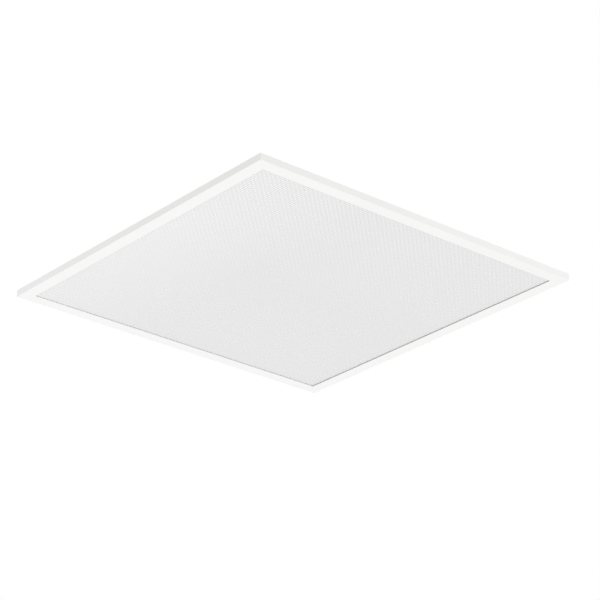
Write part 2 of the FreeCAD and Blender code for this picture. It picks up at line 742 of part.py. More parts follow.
def make_back_plate():
    """The sheet-metal back plate: pressed beads, screw holes and the leads' hole."""
    plate = Piece("back_plate")
    half = HALF - d.rail_wall - d.plate_slack
    plate.pad(plate.outline("XY", lift=d.seat_height).box(-half, -half, half, half), d.plate_thick)

    lean = -math.degrees(math.atan(d.bead_slope.number / d.bead_height.number))
    ray_length = d.ray_bead_end - d.ray_bead_start
    ray_middle = (d.ray_bead_end + d.ray_bead_start) / 2
    edge = HALF - d.edge_bead_inset
    shrink = 2 * d.plate_thick
    for turn, x, y, long in ((0, 0, edge, d.edge_bead_length), (45, ray_middle, 0, ray_length)):
        top = plate.outline("XY", lift=PLATE_TOP, turn=turn).slot(x, y, long, d.bead_width)
        raised = plate.pad(top, d.bead_height, lean=lean)
        under = plate.outline("XY", lift=d.seat_height, turn=turn)
        under.slot(x, y, long - shrink, d.bead_width - shrink)
        hollow = plate.cut(under, d.bead_height, towards=1, lean=lean)
        plate.ring([raised, hollow], 4)

    holes = plate.outline("XY", lift=PLATE_TOP)
    row = -HALF + SCREW_INSET
    for step in PERIMETER_STEPS:
        holes.circle(step * d.screw_step, row, HOLE)
    for place in bracket_screw_places():
        holes.circle(place, row, HOLE)
    plate.ring([plate.cut(holes, d.plate_thick)], 4)

    fixings = plate.outline("XY", lift=PLATE_TOP)
    for x in (-1, 1):
        for y in (-1, 1):
            fixings.circle(x * d.box_screw_place, y * d.box_screw_side, TAPPED)
    fixings.circle(d.earth_place, d.earth_side, TAPPED)
    fixings.circle(-d.grommet_place, 0, d.grommet_neck)
    plate.cut(fixings, d.plate_thick)


def make_clip_brackets():
    """The four hinge brackets of the grid clips, on the left and right rails."""
    brackets = Piece("clip_brackets")
    hinge = HALF - d.hinge_inset
    feet = brackets.outline("XY", lift=PLATE_TOP)
    uprights = brackets.outline("XY", lift=PLATE_TOP + d.bracket_thick)
    holes = brackets.outline("XY", lift=PLATE_TOP + d.bracket_thick)
    for side in (-1, 1):
        middle = side * d.bracket_place
        near_end, far_end = middle - d.bracket_half, middle + d.bracket_half
        feet.box(HALF - d.bracket_start, near_end, HALF - d.bracket_end, far_end)
        for ear in (-1, 1):
            near = middle + ear * (d.clip_half + d.clip_gap)
            far = middle + ear * (d.clip_half + d.clip_gap + d.ear_thick)
            uprights.box(hinge - d.ear_half, near, hinge + d.ear_half, far)
            holes.circle(HALF - SCREW_INSET, middle + ear * d.bracket_screw_offset, HOLE)
    ear_height = d.clip_lift + d.knuckle_radius + d.ear_half
    features = [
        brackets.pad(feet, d.bracket_thick),
        brackets.pad(uprights, ear_height),
        brackets.cut(holes, d.bracket_thick),
    ]
    bore = brackets.outline("XZ").circle(hinge, HINGE_LEVEL, d.clip_pin_radius + d.ear_slack)
    features.append(brackets.cut(bore, d.panel_side, both=True))
    brackets.ring(features, 2)


def make_hanger_brackets():
    """Four L-shaped brackets for suspension wires, on the front and back rails."""
    hangers = Piece("hanger_brackets")
    foot_top = PLATE_TOP + d.bracket_thick
    outer = -HALF + d.hanger_tab_inset
    inner = outer + d.bracket_thick
    feet = hangers.outline("XY", lift=PLATE_TOP)
    tabs = hangers.outline("XY", lift=foot_top)
    holes = hangers.outline("XY", lift=foot_top)
    eyes = hangers.outline("XZ", lift=outer)
    for side in (-1, 1):
        middle = side * d.bracket_place
        feet.box(middle - d.bracket_half, -HALF + d.bracket_start, middle + d.bracket_half, inner)
        tabs.box(middle - d.hanger_tab_half, outer, middle + d.hanger_tab_half, inner)
        eyes.circle(middle, foot_top + d.hanger_hole_height, d.hanger_hole_radius)
        for end in (-1, 1):
            holes.circle(middle + end * d.bracket_screw_offset, -HALF + SCREW_INSET, HOLE)
    features = [
        hangers.pad(feet, d.bracket_thick),
        hangers.pad(tabs, d.hanger_tab_height),
        hangers.cut(holes, d.bracket_thick),
        hangers.cut(eyes, d.bracket_thick, towards=1),
    ]
    hangers.ring(features, 2)
    top = foot_top + d.hanger_tab_height
    hangers.round(d.strip_corner, along_edge("y", z=top))


CLIP_PLACES = [
    ("front_left", -1, -1),
    ("back_left", -1, 1),
    ("front_right", 1, -1),
    ("back_right", 1, 1),
]


def make_clip(name, x_side, y_side):
    """A grid clip, stowed: its leg lies inwards from the hinge, and its hook stands up at the leg's end."""
    clip = Piece(
        f"grid_clip_{name}",
        x=x_side * (HALF - d.hinge_inset),
        y=y_side * d.bracket_place,
        z=HINGE_LEVEL,
        turn=0 if x_side < 0 else 180,
    )
    low = -d.knuckle_radius
    high = low + d.clip_thick
    inner = d.clip_reach - d.clip_thick
    leg = clip.outline("XZ")
    leg.points(
        (0, low),
        (d.clip_reach, low),
        (d.clip_reach, d.clip_hook),
        (inner, d.clip_hook),
        (inner, high),
        (0, high),
    )
    clip.pad(leg, 2 * d.clip_half, both=True)
    clip.round(d.bend_inside, along_edge("y", x=inner, z=high))
    clip.round(d.bend_inside + d.clip_thick, along_edge("y", x=d.clip_reach, z=low))
    clip.round(d.strip_corner, along_edge("x", z=d.clip_hook))
    clip.pad(clip.outline("XZ").circle(0, 0, d.knuckle_radius), 2 * d.clip_half, both=True)
    bore = clip.outline("XZ").circle(0, 0, d.clip_pin_radius + d.pin_slack)
    clip.cut(bore, 2 * d.clip_half, both=True)


def make_clip_pins():
    """The clips' hinge pins, each with two peened heads."""
    pins = []
    shank = d.clip_half + d.clip_gap + d.ear_thick
    for name, x_side, y_side in CLIP_PLACES:
        x = x_side * (HALF - d.hinge_inset)
        y = y_side * d.bracket_place
        body = rod(f"pin_shank_{name}", "Y", d.clip_pin_radius, 2 * shank, x, y - shank, HINGE_LEVEL)
        heads = [
            rod(f"pin_{end}_{name}", "Y", d.pin_head_radius, d.pin_head_height, x, start, HINGE_LEVEL)
            for end, start in (("near", y - shank - d.pin_head_height), ("far", y + shank))
        ]
        pins.append(joined(f"pin_{name}", body, *heads))
    keep(group("clip_pins", *pins), "clip_pins")


# ------------------------------------------------------------------ the driver box

def upright_corner(x_limit):
    """A test for the vertical edges at the driver box's outer corners, x_limit from the centre."""
    def wanted(a, b):
        upright = along_edge("z")(a, b)
        return upright and abs(abs(a.x) - x_limit.number) < NEAR and abs(abs(a.y) - BOX_Y.number) < NEAR
    return wanted


def upper_rim(hinge_side):
    """A test for the upper edges of a cover, but for the one beside the hinge."""
    def wanted(a, b):
        upper = all(abs(point.z - COVER_TOP.number) < NEAR for point in (a, b))
        hinged = all(abs(point.x - hinge_side.number) < NEAR for point in (a, b))
        return upper and not hinged
    return wanted


def post_places():
    """Where the driver cover's four screws go."""
    return [(x, side * POST_Y) for x in (POST_X_LEFT, POST_X_RIGHT) for side in (-1, 1)]


def stand_places():
    """Where the driver board's four screws go."""
    ends = (d.pcb_start + d.pcb_hole_inset, d.pcb_end - d.pcb_hole_inset)
    return [(x, side * (d.pcb_half - d.pcb_hole_inset)) for x in ends for side in (-1, 1)]


def box_screw_places():
    """Where the box's four fixing screws go."""
    return [(x * d.box_screw_place, y * d.box_screw_side) for x in (-1, 1) for y in (-1, 1)]


def make_box_base():
    """The moulded base: a tray with a driver bay, a wiring bay, posts, standoffs and the cable entry."""
    base = Piece("box_base")
    base.pad(base.outline("XY", lift=PLATE_TOP).box(-BOX_X, -BOX_Y, BOX_X, BOX_Y), d.box_height)
    base.round(d.box_round, upright_corner(BOX_X))
    bays = base.outline("XY", lift=BOX_TOP)
    inner = BOX_Y - d.box_wall
    half_wall = d.box_wall / 2
    bays.box(-BOX_X + d.box_wall, -inner, d.partition_place - half_wall, inner)
    bays.box(d.partition_place + half_wall, -inner, BOX_X - d.box_wall, inner)
    base.cut(bays, d.box_height - d.box_wall)

    posts = base.outline("XY", lift=FLOOR)
    for x, y in post_places():
        posts.circle(x, y, d.post_radius)
    base.pad(posts, d.box_height - d.box_wall - d.rib_depth)
    stands = base.outline("XY", lift=FLOOR)
    for x, y in stand_places():
        stands.circle(x, y, d.stand_radius)
    base.pad(stands, d.pcb_lift)

    bores = base.outline("XY", lift=BOX_TOP - d.rib_depth)
    for x, y in post_places():
        bores.circle(x, y, TAPPED)
    base.cut(bores, d.cover_screw_length)
    taps = base.outline("XY", lift=PCB_LOW)
    for x, y in stand_places():
        taps.circle(x, y, TAPPED)
    base.cut(taps, d.pcb_lift)
    floor = base.outline("XY", lift=FLOOR)
    for x, y in box_screw_places():
        floor.circle(x, y, HOLE)
    floor.circle(-d.grommet_place, 0, d.grommet_neck)
    floor.circle(d.earth_place, d.earth_side, HOLE)
    base.cut(floor, d.box_wall)
    window = base.outline("YZ", lift=d.partition_place + half_wall)
    window.box(-d.window_half, d.window_low, d.window_half, d.window_high)
    base.cut(window, d.box_wall)
    entry = base.outline("YZ", lift=BOX_X).circle(0, d.gland_level, d.gland_thread + d.ear_slack)
    base.cut(entry, d.box_wall)


def make_driver_cover():
    """The screwed cover over the driver bay, with vents, a locating rib and two hinge knuckles."""
    cover = Piece("driver_cover")
    end = d.partition_place - d.cover_gap
    plate = cover.outline("XY", lift=BOX_TOP).box(-BOX_X, -BOX_Y, end, BOX_Y)
    cover.pad(plate, d.box_wall)
    cover.round(d.box_round, upright_corner(BOX_X))
    cover.round(d.cover_round, upper_rim(end))

    rib_x = -BOX_X + d.box_wall + d.plate_slack
    rib_end = d.partition_place - d.box_wall / 2 - d.plate_slack
    rib_y = BOX_Y - d.box_wall - d.plate_slack
    wall = d.rail_wall
    rib = cover.outline("XY", lift=BOX_TOP)
    rib.box(rib_x, -rib_y, rib_end, rib_y)
    rib.box(rib_x + wall, -rib_y + wall, rib_end - wall, rib_y - wall)
    cover.pad(rib, d.rib_depth - d.plate_slack, towards=-1)

    post_tops = cover.outline("XY", lift=BOX_TOP)
    for x, y in post_places():
        post_tops.circle(x, y, d.post_radius)
    cover.pad(post_tops, d.rib_depth, towards=-1)
    holes = cover.outline("XY", lift=COVER_TOP)
    for x, y in post_places():
        holes.circle(x, y, HOLE)
    cover.cut(holes, d.box_wall + d.rib_depth)

    for side in (-1, 1):
        near, far = side * d.cover_knuckle_start, side * d.cover_knuckle_end
        middle = (near + far) / 2
        knuckle = cover.outline("XZ", lift=middle)
        knuckle.circle(d.partition_place, LID_AXIS_LEVEL, d.knuckle_radius)
        cover.pad(knuckle, d.cover_knuckle_end - d.cover_knuckle_start, both=True)
    bore = cover.outline("XZ").circle(d.partition_place, LID_AXIS_LEVEL, d.lid_pin_radius + d.ear_slack)
    cover.cut(bore, d.box_width, both=True)

    reach = d.knuckle_radius + d.knuckle_notch
    side = d.lid_knuckle_half + d.knuckle_notch
    notch = cover.outline("XY", lift=COVER_TOP)
    notch.box(d.partition_place - reach, -side, d.partition_place, side)
    cover.cut(notch, d.box_wall)

    vents = cover.outline("XY", lift=COVER_TOP)
    first = (POST_X_LEFT + POST_X_RIGHT) / 2 - d.vent_pitch * (d.vent_count - 1) / 2
    half_width, half_length = d.vent_width / 2, d.vent_length / 2
    vents.box(first - half_width, -half_length, first + half_width, half_length)
    cover.row([cover.cut(vents, d.box_wall)], "X_Axis", d.vent_pitch, d.vent_count)


def make_wiring_lid():
    """The hinged lid over the wiring bay."""
    lid = Piece("wiring_lid")
    start = d.partition_place + d.cover_gap
    lid.pad(lid.outline("XY", lift=BOX_TOP).box(start, -BOX_Y, BOX_X + d.lid_lip, BOX_Y), d.box_wall)
    lid.round(d.box_round, upright_corner(BOX_X + d.lid_lip))
    lid.round(d.cover_round, upper_rim(start))
    knuckle = lid.outline("XZ").circle(d.partition_place, LID_AXIS_LEVEL, d.knuckle_radius)
    lid.pad(knuckle, 2 * d.lid_knuckle_half, both=True)
    notches = lid.outline("XY", lift=COVER_TOP)
    for side in (-1, 1):
        notches.box(
            d.partition_place,
            side * (d.cover_knuckle_start - d.knuckle_notch),
            d.partition_place + d.knuckle_radius + d.knuckle_notch,
            side * (d.cover_knuckle_end + d.knuckle_notch),
        )
    lid.cut(notches, d.box_wall)
    bore = lid.outline("XZ").circle(d.partition_place, LID_AXIS_LEVEL, d.lid_pin_radius + d.pin_slack)
    lid.cut(bore, 2 * d.cover_knuckle_start, both=True)
    tab_face = BOX_X - d.box_wall - d.tab_gap
    tabs = lid.outline("XY", lift=BOX_TOP)
    for side in (-1, 1):
        tabs.box(tab_face - d.box_wall, side * d.tab_near, tab_face, side * d.tab_far)
    lid.pad(tabs, d.tab_depth, towards=-1)


def make_box_hardware():
    """The lid's hinge pin and the box's screws."""
    pin = rod(
        "lid_hinge_pin", "Y", d.lid_pin_radius, 2 * d.cover_knuckle_end,
        d.partition_place, -d.cover_knuckle_end, LID_AXIS_LEVEL,
    )
    keep(pin, "lid_hinge_pin")
    cover = Piece("cover_screws")
    length = d.box_wall + d.rib_depth + d.cover_screw_length - d.hole_slack
    add_screws(cover, post_places(), COVER_TOP, d.cover_head_radius, d.cover_head_height, length)
    fixing = Piece("box_screws")
    length = d.box_screw_length
    add_screws(fixing, box_screw_places(), FLOOR, d.cover_head_radius, d.cover_head_height, length)
    board = Piece("board_screws")
    add_screws(board, stand_places(), PCB_TOP, d.head_radius, d.head_height, d.screw_length)


def make_grommet():
    """The rubber grommet that takes the LED leads through the box floor and the back plate."""
    grommet = Piece("lead_grommet", x=-d.grommet_place)
    low, high = d.seat_height, FLOOR
    section = grommet.outline("XZ")
    section.points(
        (d.grommet_bore, low - d.grommet_lip),
        (d.grommet_flange, low - d.grommet_lip),
        (d.grommet_flange, low),
        (d.grommet_neck, low),
        (d.grommet_neck, high),
        (d.grommet_flange, high),
        (d.grommet_flange, high + d.grommet_lip),
        (d.grommet_bore, high + d.grommet_lip),
    )
    grommet.revolve(section)


# ------------------------------------------------------------------ the driver's electronics

def make_driver_board():
    """The driver's circuit board."""
    board = Piece("driver_board")
    outline = board.outline("XY", lift=PCB_LOW).box(d.pcb_start, -d.pcb_half, d.pcb_end, d.pcb_half)
    board.pad(outline, d.pcb_thick)
    holes = board.outline("XY", lift=PCB_TOP)
    for x, y in stand_places():
        holes.circle(x, y, HOLE)
    board.cut(holes, d.pcb_thick)


def make_cans(label, places, radius, height):
    """Radial capacitors: cans with a crimped neck near the board."""
    cans = []
    level = PCB_TOP + d.crimp_lift
    for number, (x, y) in enumerate(places):
        can = rod(f"{label}_can{number}", "Z", radius, height, x, y, PCB_TOP)
        sleeve = rod(f"{label}_ring{number}", "Z", radius + d.crimp_depth, d.crimp_width, x, y, level)
        neck = rod(f"{label}_neck{number}", "Z", radius - d.crimp_depth, d.crimp_width, x, y, level)
        groove = less(f"{label}_groove{number}", sleeve, neck)
        cans.append(less(f"{label}_crimped{number}", can, groove))
    keep(group(label, *cans), label)


def make_input_parts():
    """The parts that the mains meets first: header, fuse and choke."""
    header = block(
        "header_body", d.header_start, d.header_start + d.header_length,
        -d.block_half, d.block_half, PCB_TOP, PCB_TOP + d.header_height,
    )
    keep(header, "input_header")
    fuse = rod("fuse_body", "Z", d.fuse_radius, d.fuse_height, d.fuse_x, d.fuse_y, PCB_TOP)
    keep(fuse, "input_fuse")
    base = block(
        "choke_base", d.choke_x - d.choke_half_x, d.choke_x + d.choke_half_x,
        -d.choke_half_y, d.choke_half_y, PCB_TOP, PCB_TOP + d.choke_foot,
    )
    coils = [
        rod(f"choke_coil_{end}", "Z", d.choke_coil_radius, d.choke_coil_height, d.choke_x, y, PCB_TOP)
        for end, y in (("near", -d.choke_coil_y), ("far", d.choke_coil_y))
    ]
    keep(joined("choke_parts", base, *coils), "emi_choke")


def make_transformer():
    """The transformer: a ferrite core whose two windows hold the winding on its footed bobbin."""
    left, right = d.core_x - d.core_half_x, d.core_x + d.core_half_x
    low = PCB_TOP + d.core_lift
    high = low + d.core_height
    side = d.core_half_y
    window_low, window_high = low + d.core_yoke, high - d.core_yoke
    core = less(
        "transformer_core_cut",
        block("core_block", left, right, -side, side, low, high),
        block("core_window", left + d.core_leg, right - d.core_leg, -side, side, window_low, window_high),
    )
    keep(core, "transformer_core")
    start, end = left + d.core_leg + d.winding_gap, right - d.core_leg - d.winding_gap
    reach = side + d.winding_reach
    pieces = [block("winding_block", start, end, -reach, reach, window_low, window_high)]
    for name, near, far in (("front", -reach, d.bobbin_foot - reach), ("back", reach - d.bobbin_foot, reach)):
        pieces.append(block(f"bobbin_foot_{name}", start, end, near, far, PCB_TOP, window_low))
    keep(joined("winding_parts", *pieces), "transformer_winding")


def make_power_switch():
    """The power transistor and the folded plate that cools it."""
    face, back = d.sink_y, d.sink_y - d.sink_thick
    top = PCB_TOP + d.sink_height
    plate = block("sink_plate", d.sink_start, d.sink_end, back, face, PCB_TOP, top)
    lip = block("sink_lip", d.sink_start, d.sink_end, face, face + d.sink_lip, top - d.sink_thick, top)
    keep(joined("sink_parts", plate, lip), "heatsink")
    low = PCB_TOP + d.switch_lift
    switch = block(
        "switch_body", d.switch_x - d.switch_half, d.switch_x + d.switch_half,
        face, face + d.switch_thick, low, low + d.switch_height,
    )
    keep(switch, "power_transistor")


def make_output_inductor():
    """The output inductor: a coil between two round plates."""
    plates = [
        rod(f"drum_plate_{end}", "Z", d.drum_radius, d.drum_plate, d.drum_x, 0, level)
        for end, level in (("low", PCB_TOP), ("high", PCB_TOP + d.drum_height - d.drum_plate))
    ]
    coil = rod("drum_coil", "Z", d.drum_coil_radius, d.drum_height, d.drum_x, 0, PCB_TOP)
    keep(joined("drum_parts", coil, *plates), "output_inductor")


def make_output_terminal():
    """The output terminal, with a wire hole for each of the four LED leads."""
    body = block(
        "output_body", d.output_start, d.output_start + d.output_length,
        -d.output_half, d.output_half, PCB_TOP, PCB_TOP + d.output_height,
    )
    holes = [
        rod(
            f"output_hole{number}", "X", d.lead_radius + d.button_slack, d.output_pocket,
            d.output_start, place * d.lead_fan, d.wire_level,
        )
        for number, place in enumerate((-1.5, -0.5, 0.5, 1.5))
    ]
    keep(less("output_cut", body, *holes), "output_terminal")


def make_mains_terminal():
    """The mains push-in terminal block and its three release buttons."""
    terminal = Piece("mains_terminal")
    top = FLOOR + d.block_height
    end = d.block_start + d.block_length
    terminal.pad(
        terminal.outline("XY", lift=FLOOR).box(d.block_start, -d.block_half, end, d.block_half),
        d.block_height,
    )
    poles = terminal.outline("YZ", lift=end)
    for pole in (-1, 0, 1):
        poles.circle(pole * d.pole_pitch, d.pole_level, d.pole_radius)
    terminal.cut(poles, d.pole_depth)
    funnels = terminal.outline("YZ", lift=end)
    for pole in (-1, 0, 1):
        funnels.circle(pole * d.pole_pitch, d.pole_level, d.funnel_radius)
    terminal.cut(funnels, d.funnel_depth)
    wells = terminal.outline("XY", lift=top)
    half_x = d.button_length / 2 + d.button_slack
    half_y = d.button_width / 2 + d.button_slack
    for pole in (-1, 0, 1):
        middle = pole * d.pole_pitch
        left, right = d.button_place - half_x, d.button_place + half_x
        wells.box(left, middle - half_y, right, middle + half_y)
    inside = d.button_height - d.button_stand + d.button_travel + d.button_slack
    terminal.cut(wells, inside)

    low = top + d.button_stand - d.button_height
    for name, pole in (("live", -1), ("neutral", 0), ("earth", 1)):
        label = f"{name}_button"
        middle = pole * d.pole_pitch
        button = Piece(label)
        shape = button.outline("XY", lift=low)
        shape.box(
            d.button_place - d.button_length / 2,
            middle - d.button_width / 2,
            d.button_place + d.button_length / 2,
            middle + d.button_width / 2,
        )
        button.pad(shape, d.button_height)
        dimple = button.outline("XY", lift=low + d.button_height)
        dimple.circle(d.button_place, middle, d.button_width / 4)
        button.cut(dimple, d.recess_depth)


def make_mains_links():
    """The link wires from the mains terminal to the driver, and the earth bond to the back plate."""
    start = d.header_start + d.header_length
    length = d.block_start - start
    for name, pole in (("live_link", -1), ("neutral_link", 0)):
        keep(rod(name, "X", d.link_radius, length, start, pole * d.pole_pitch, d.wire_level), name)
    lug = d.earth_side - d.tag_reach
    length = lug - d.block_half
    lead = rod("earth_lead", "Y", d.link_radius, length, d.earth_place, d.block_half, d.earth_level)
    keep(lead, "earth_link")
    ring_top = FLOOR + d.tag_thick
    left, right = d.earth_place - d.tag_half, d.earth_place + d.tag_half
    lug_top = d.earth_level + d.tag_half
    ring = rod("tag_ring", "Z", d.tag_radius, d.tag_thick, d.earth_place, d.earth_side, FLOOR)
    neck = block("tag_neck", left, right, lug, d.earth_side - d.tag_half, FLOOR, ring_top)
    upright = block("tag_lug", left, right, lug, lug + d.tag_thick, FLOOR, lug_top)
    hole = rod("tag_hole", "Z", HOLE, d.tag_thick, d.earth_place, d.earth_side, FLOOR)
    keep(less("tag_cut", joined("tag_parts", ring, neck, upright), hole), "earth_tag")
    screw = Piece("earth_screw")
    place = [(d.earth_place, d.earth_side)]
    add_screws(screw, place, ring_top, d.head_radius, d.head_height, d.screw_length)


# ------------------------------------------------------------------ the leads

BEND_SHARE = 0.45
VOLUME_TOLERANCE = 0.01


def lead_path(points):
    """A wire of straight runs joined by tangent arcs; returns the wire and the arcs' radii."""
    edges, radii = [], []
    at = points[0]
    for before, corner, after in zip(points, points[1:], points[2:]):
        back = before - corner
        ahead = after - corner
        turn = math.pi - back.getAngle(ahead)
        trim = BEND_SHARE * min(back.Length, ahead.Length)
        radius = trim / math.tan(turn / 2)
        radii.append(round(radius, 2))
        start = corner + back.normalize() * trim
        end = corner + ahead.normalize() * trim
        bisector = (back + ahead).normalize()
        middle = corner + bisector * (radius / math.cos(turn / 2) - radius)
        edges.append(Part.LineSegment(at, start).toShape())
        edges.append(Part.Arc(start, middle, end).toShape())
        at = end
    edges.append(Part.LineSegment(at, points[-1]).toShape())
    return Part.Wire(edges), radii


def make_lead(points, radius):
    """One insulated lead swept along its route; prints its bends and checks its volume."""
    wire, radii = lead_path(points)
    start = wire.Edges[0].valueAt(wire.Edges[0].FirstParameter)
    along = (points[1] - points[0]).normalize()
    section = Part.Wire([Part.Circle(start, along, radius).toShape()])
    tube = wire.makePipeShell([section], True, True)
    true_volume = math.pi * radius * radius * wire.Length
    share = tube.Volume / true_volume
    print(f"lead: {wire.Length:.1f} mm long, bend radii {radii}, volume {share:.4f} of its section")
    if abs(share - 1) > VOLUME_TOLERANCE:
        raise RuntimeError("a lead's volume is not its section times its length")
    return tube


def make_leads():
    """The LED leads: along the foam's channel, up through the grommet and into the output terminal."""
    level, wire_level = LEAD_LEVEL.number, d.wire_level.number
    grommet_x = -d.grommet_place.number
    above = (FLOOR + 2 * d.grommet_lip).number
    spread = grommet_x + d.lead_fan.number
    entry = (d.output_start + d.output_pocket).number
    board = (HALF - WEB - d.board_thick).number
    for label, colour in (("red_leads", -1), ("black_leads", 1)):
        tubes = []
        for side, place in ((-1, 1.5), (1, 0.5)):
            y = colour * place * d.lead_spacing.number
            fan = colour * place * d.lead_fan.number
            route = [
                Vector(side * board, y, level),
                Vector(grommet_x, y, level),
                Vector(grommet_x, y, above),
                Vector(spread, fan, wire_level),
                Vector(entry, fan, wire_level),
            ]
            tubes.append(make_lead(route, d.lead_radius.number))
        leads = doc.addObject("Part::Feature", label)
        leads.Shape = Part.makeCompound(tubes)
        leads.Placement = Placement()
        keep(leads, label)


# ------------------------------------------------------------------ the cable gland

def make_gland():
    """The mains cable gland in the box's right end: body, lock nut, seal and dome nut."""
    level = d.gland_level
    inside = BOX_X - d.gland_inside
    reach = d.gland_inside + d.gland_outside
    body = less(
        "gland_body_cut",
        joined(
            "gland_body_parts",
            prism("gland_hexagon", "X", d.gland_flats, d.gland_flange, BOX_X, 0, level),
            rod("gland_shank", "X", d.gland_thread, d.gland_inside + d.gland_flange, inside, 0, level),
            rod("gland_outer", "X", d.gland_outer_thread, d.gland_outside, BOX_X, 0, level),
        ),
        rod("gland_way", "X", d.gland_bore, reach, inside, 0, level),
    )
    keep(body, "gland_body")
    lock_start = BOX_X - d.box_wall - d.locknut_thick
    locknut = less(
        "locknut_cut",
        prism("locknut_hexagon", "X", d.gland_flats, d.locknut_thick, lock_start, 0, level),
        rod("locknut_way", "X", d.gland_thread + d.ear_slack, d.locknut_thick, lock_start, 0, level),
    )
    keep(locknut, "gland_locknut")
    seal_start = BOX_X + d.gland_outside - d.seal_length
    seal = less(
        "seal_cut",
        rod("seal_ring", "X", d.gland_bore - d.ear_slack, d.seal_length, seal_start, 0, level),
        rod("seal_way", "X", d.cable_radius, d.seal_length, seal_start, 0, level),
    )
    keep(seal, "gland_seal")

    nut = Piece("gland_nut", x=BOX_X + d.gland_flange + d.clip_gap, z=level)
    thread_end = d.gland_outside - d.gland_flange + d.button_slack
    inner = d.gland_outer_thread + d.pin_slack
    outer = d.nut_radius - d.nut_rib_height
    crown = d.nut_length - d.nut_crown
    ribbed = crown - d.nut_shoulder
    section = nut.outline("XZ")
    section.points(
        (0, inner),
        (0, outer),
        (ribbed, outer),
        (crown, outer - d.nut_rib_height),
        (d.nut_length, d.nut_mouth + d.nut_lip),
        (d.nut_length, d.nut_mouth),
        (thread_end, d.nut_mouth),
        (thread_end, inner),
    )
    nut.revolve(section, axis="H_Axis")
    step = 360 / d.nut_ribs.number
    for number in range(int(d.nut_ribs.number)):
        rib = nut.outline("YZ", turn=number * step)
        rib.box(-d.nut_rib_half, outer - d.nut_rib_height, d.nut_rib_half, d.nut_radius)
        nut.pad(rib, ribbed)


def check_and_write():
    """Stops on any failed object or broken shape, then writes each sub-part's STEP file."""
    doc.recompute()
    for thing in doc.Objects:
        if "Invalid" in thing.State or "Error" in thing.State:
            raise RuntimeError(f"{thing.Label} failed: {thing.State}")
    labels = [thing.Label for thing in kept]
    if len(set(labels)) != len(labels) or len(labels) > 60:
        raise RuntimeError(f"{len(labels)} sub-parts, with repeated names: {sorted(labels)}")
    os.makedirs("parts", exist_ok=True)
    for old in os.listdir("parts"):
        os.remove(os.path.join("parts", old))
    for thing in kept:
        shape = thing.Shape
        if shape.isNull() or not shape.isValid() or not shape.Solids:
            raise RuntimeError(f"{thing.Label} has no valid solid")
        shape.exportStep(f"parts/{thing.Label}.step")
        print(f"{thing.Label}: {len(shape.Solids)} solids, {shape.Volume:.1f} mm3")
    print(f"{len(kept)} sub-parts")


for rail_label, rail_turn in (
    ("frame_rail_front", 0),
    ("frame_rail_right", 90),
    ("frame_rail_back", 180),
    ("frame_rail_left", 270),
):
    make_rail(rail_label, rail_turn)
make_corner_keys()
make_panel_screws()
make_sheets()
make_foam_pads()
make_led_boards()
make_back_plate()
make_clip_brackets()
make_hanger_brackets()
for clip_place in CLIP_PLACES:
    make_clip(*clip_place)
make_clip_pins()
make_box_base()
make_driver_cover()
make_wiring_lid()
make_box_hardware()
make_grommet()
make_driver_board()
make_input_parts()
make_cans("bulk_capacitor", [(d.bulk_x, d.bulk_y)], d.bulk_radius, d.bulk_height)
make_transformer()
make_power_switch()
make_cans("output_capacitors", [(d.can_x, -d.can_y), (d.can_x, d.can_y)], d.can_radius, d.can_height)
make_output_inductor()
make_output_terminal()
make_mains_terminal()
make_mains_links()
make_leads()
make_gland()
check_and_write()
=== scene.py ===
"""The looks of a slim square ceiling light: its finishes, its studio, and the pieces finer than its solids.

Lengths are in metres. The light lies flat in the ceiling, with its visible face at height 0 and its back
above it.
"""
import json
import logging
import math
from dataclasses import dataclass
from enum import Enum
from typing import Any, Iterable, Optional, Sequence, Union

import bmesh
import bpy
import numpy as np
from mathutils import Euler, Matrix, Vector


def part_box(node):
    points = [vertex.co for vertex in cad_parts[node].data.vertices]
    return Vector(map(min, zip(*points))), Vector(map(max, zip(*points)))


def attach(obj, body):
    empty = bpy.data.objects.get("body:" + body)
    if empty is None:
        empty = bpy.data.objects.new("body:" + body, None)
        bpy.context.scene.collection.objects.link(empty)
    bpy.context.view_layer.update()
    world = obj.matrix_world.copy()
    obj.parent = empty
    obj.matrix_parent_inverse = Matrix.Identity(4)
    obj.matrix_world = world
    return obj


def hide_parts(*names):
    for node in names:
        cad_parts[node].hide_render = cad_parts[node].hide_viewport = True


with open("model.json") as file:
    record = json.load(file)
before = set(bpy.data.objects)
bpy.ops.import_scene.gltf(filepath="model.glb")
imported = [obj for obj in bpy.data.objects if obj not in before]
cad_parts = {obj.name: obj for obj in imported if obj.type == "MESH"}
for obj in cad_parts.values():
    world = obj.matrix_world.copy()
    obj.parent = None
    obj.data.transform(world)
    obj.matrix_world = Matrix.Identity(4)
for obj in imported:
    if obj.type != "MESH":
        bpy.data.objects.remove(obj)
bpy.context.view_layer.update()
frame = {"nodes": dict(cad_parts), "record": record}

log = logging.getLogger("ceiling_light")

MM = 0.001
SAME_PLACE_DIGITS = 7
CLEAR_IOR = 1.49
Color = tuple[float, float, float]
Stretch = tuple[float, float, float]
WHITE: Color = (1.0, 1.0, 1.0)


def opaque(color: Color) -> tuple[float, float, float, float]:
    """Returns a colour with full alpha."""
    return (*color, 1.0)


def tinted(color: Color, factor: float) -> Color:
    """Returns a colour made lighter or darker by a factor."""
    return tuple(min(1.0, channel * factor) for channel in color)


# ------------------------------------------------------------------ shader arithmetic

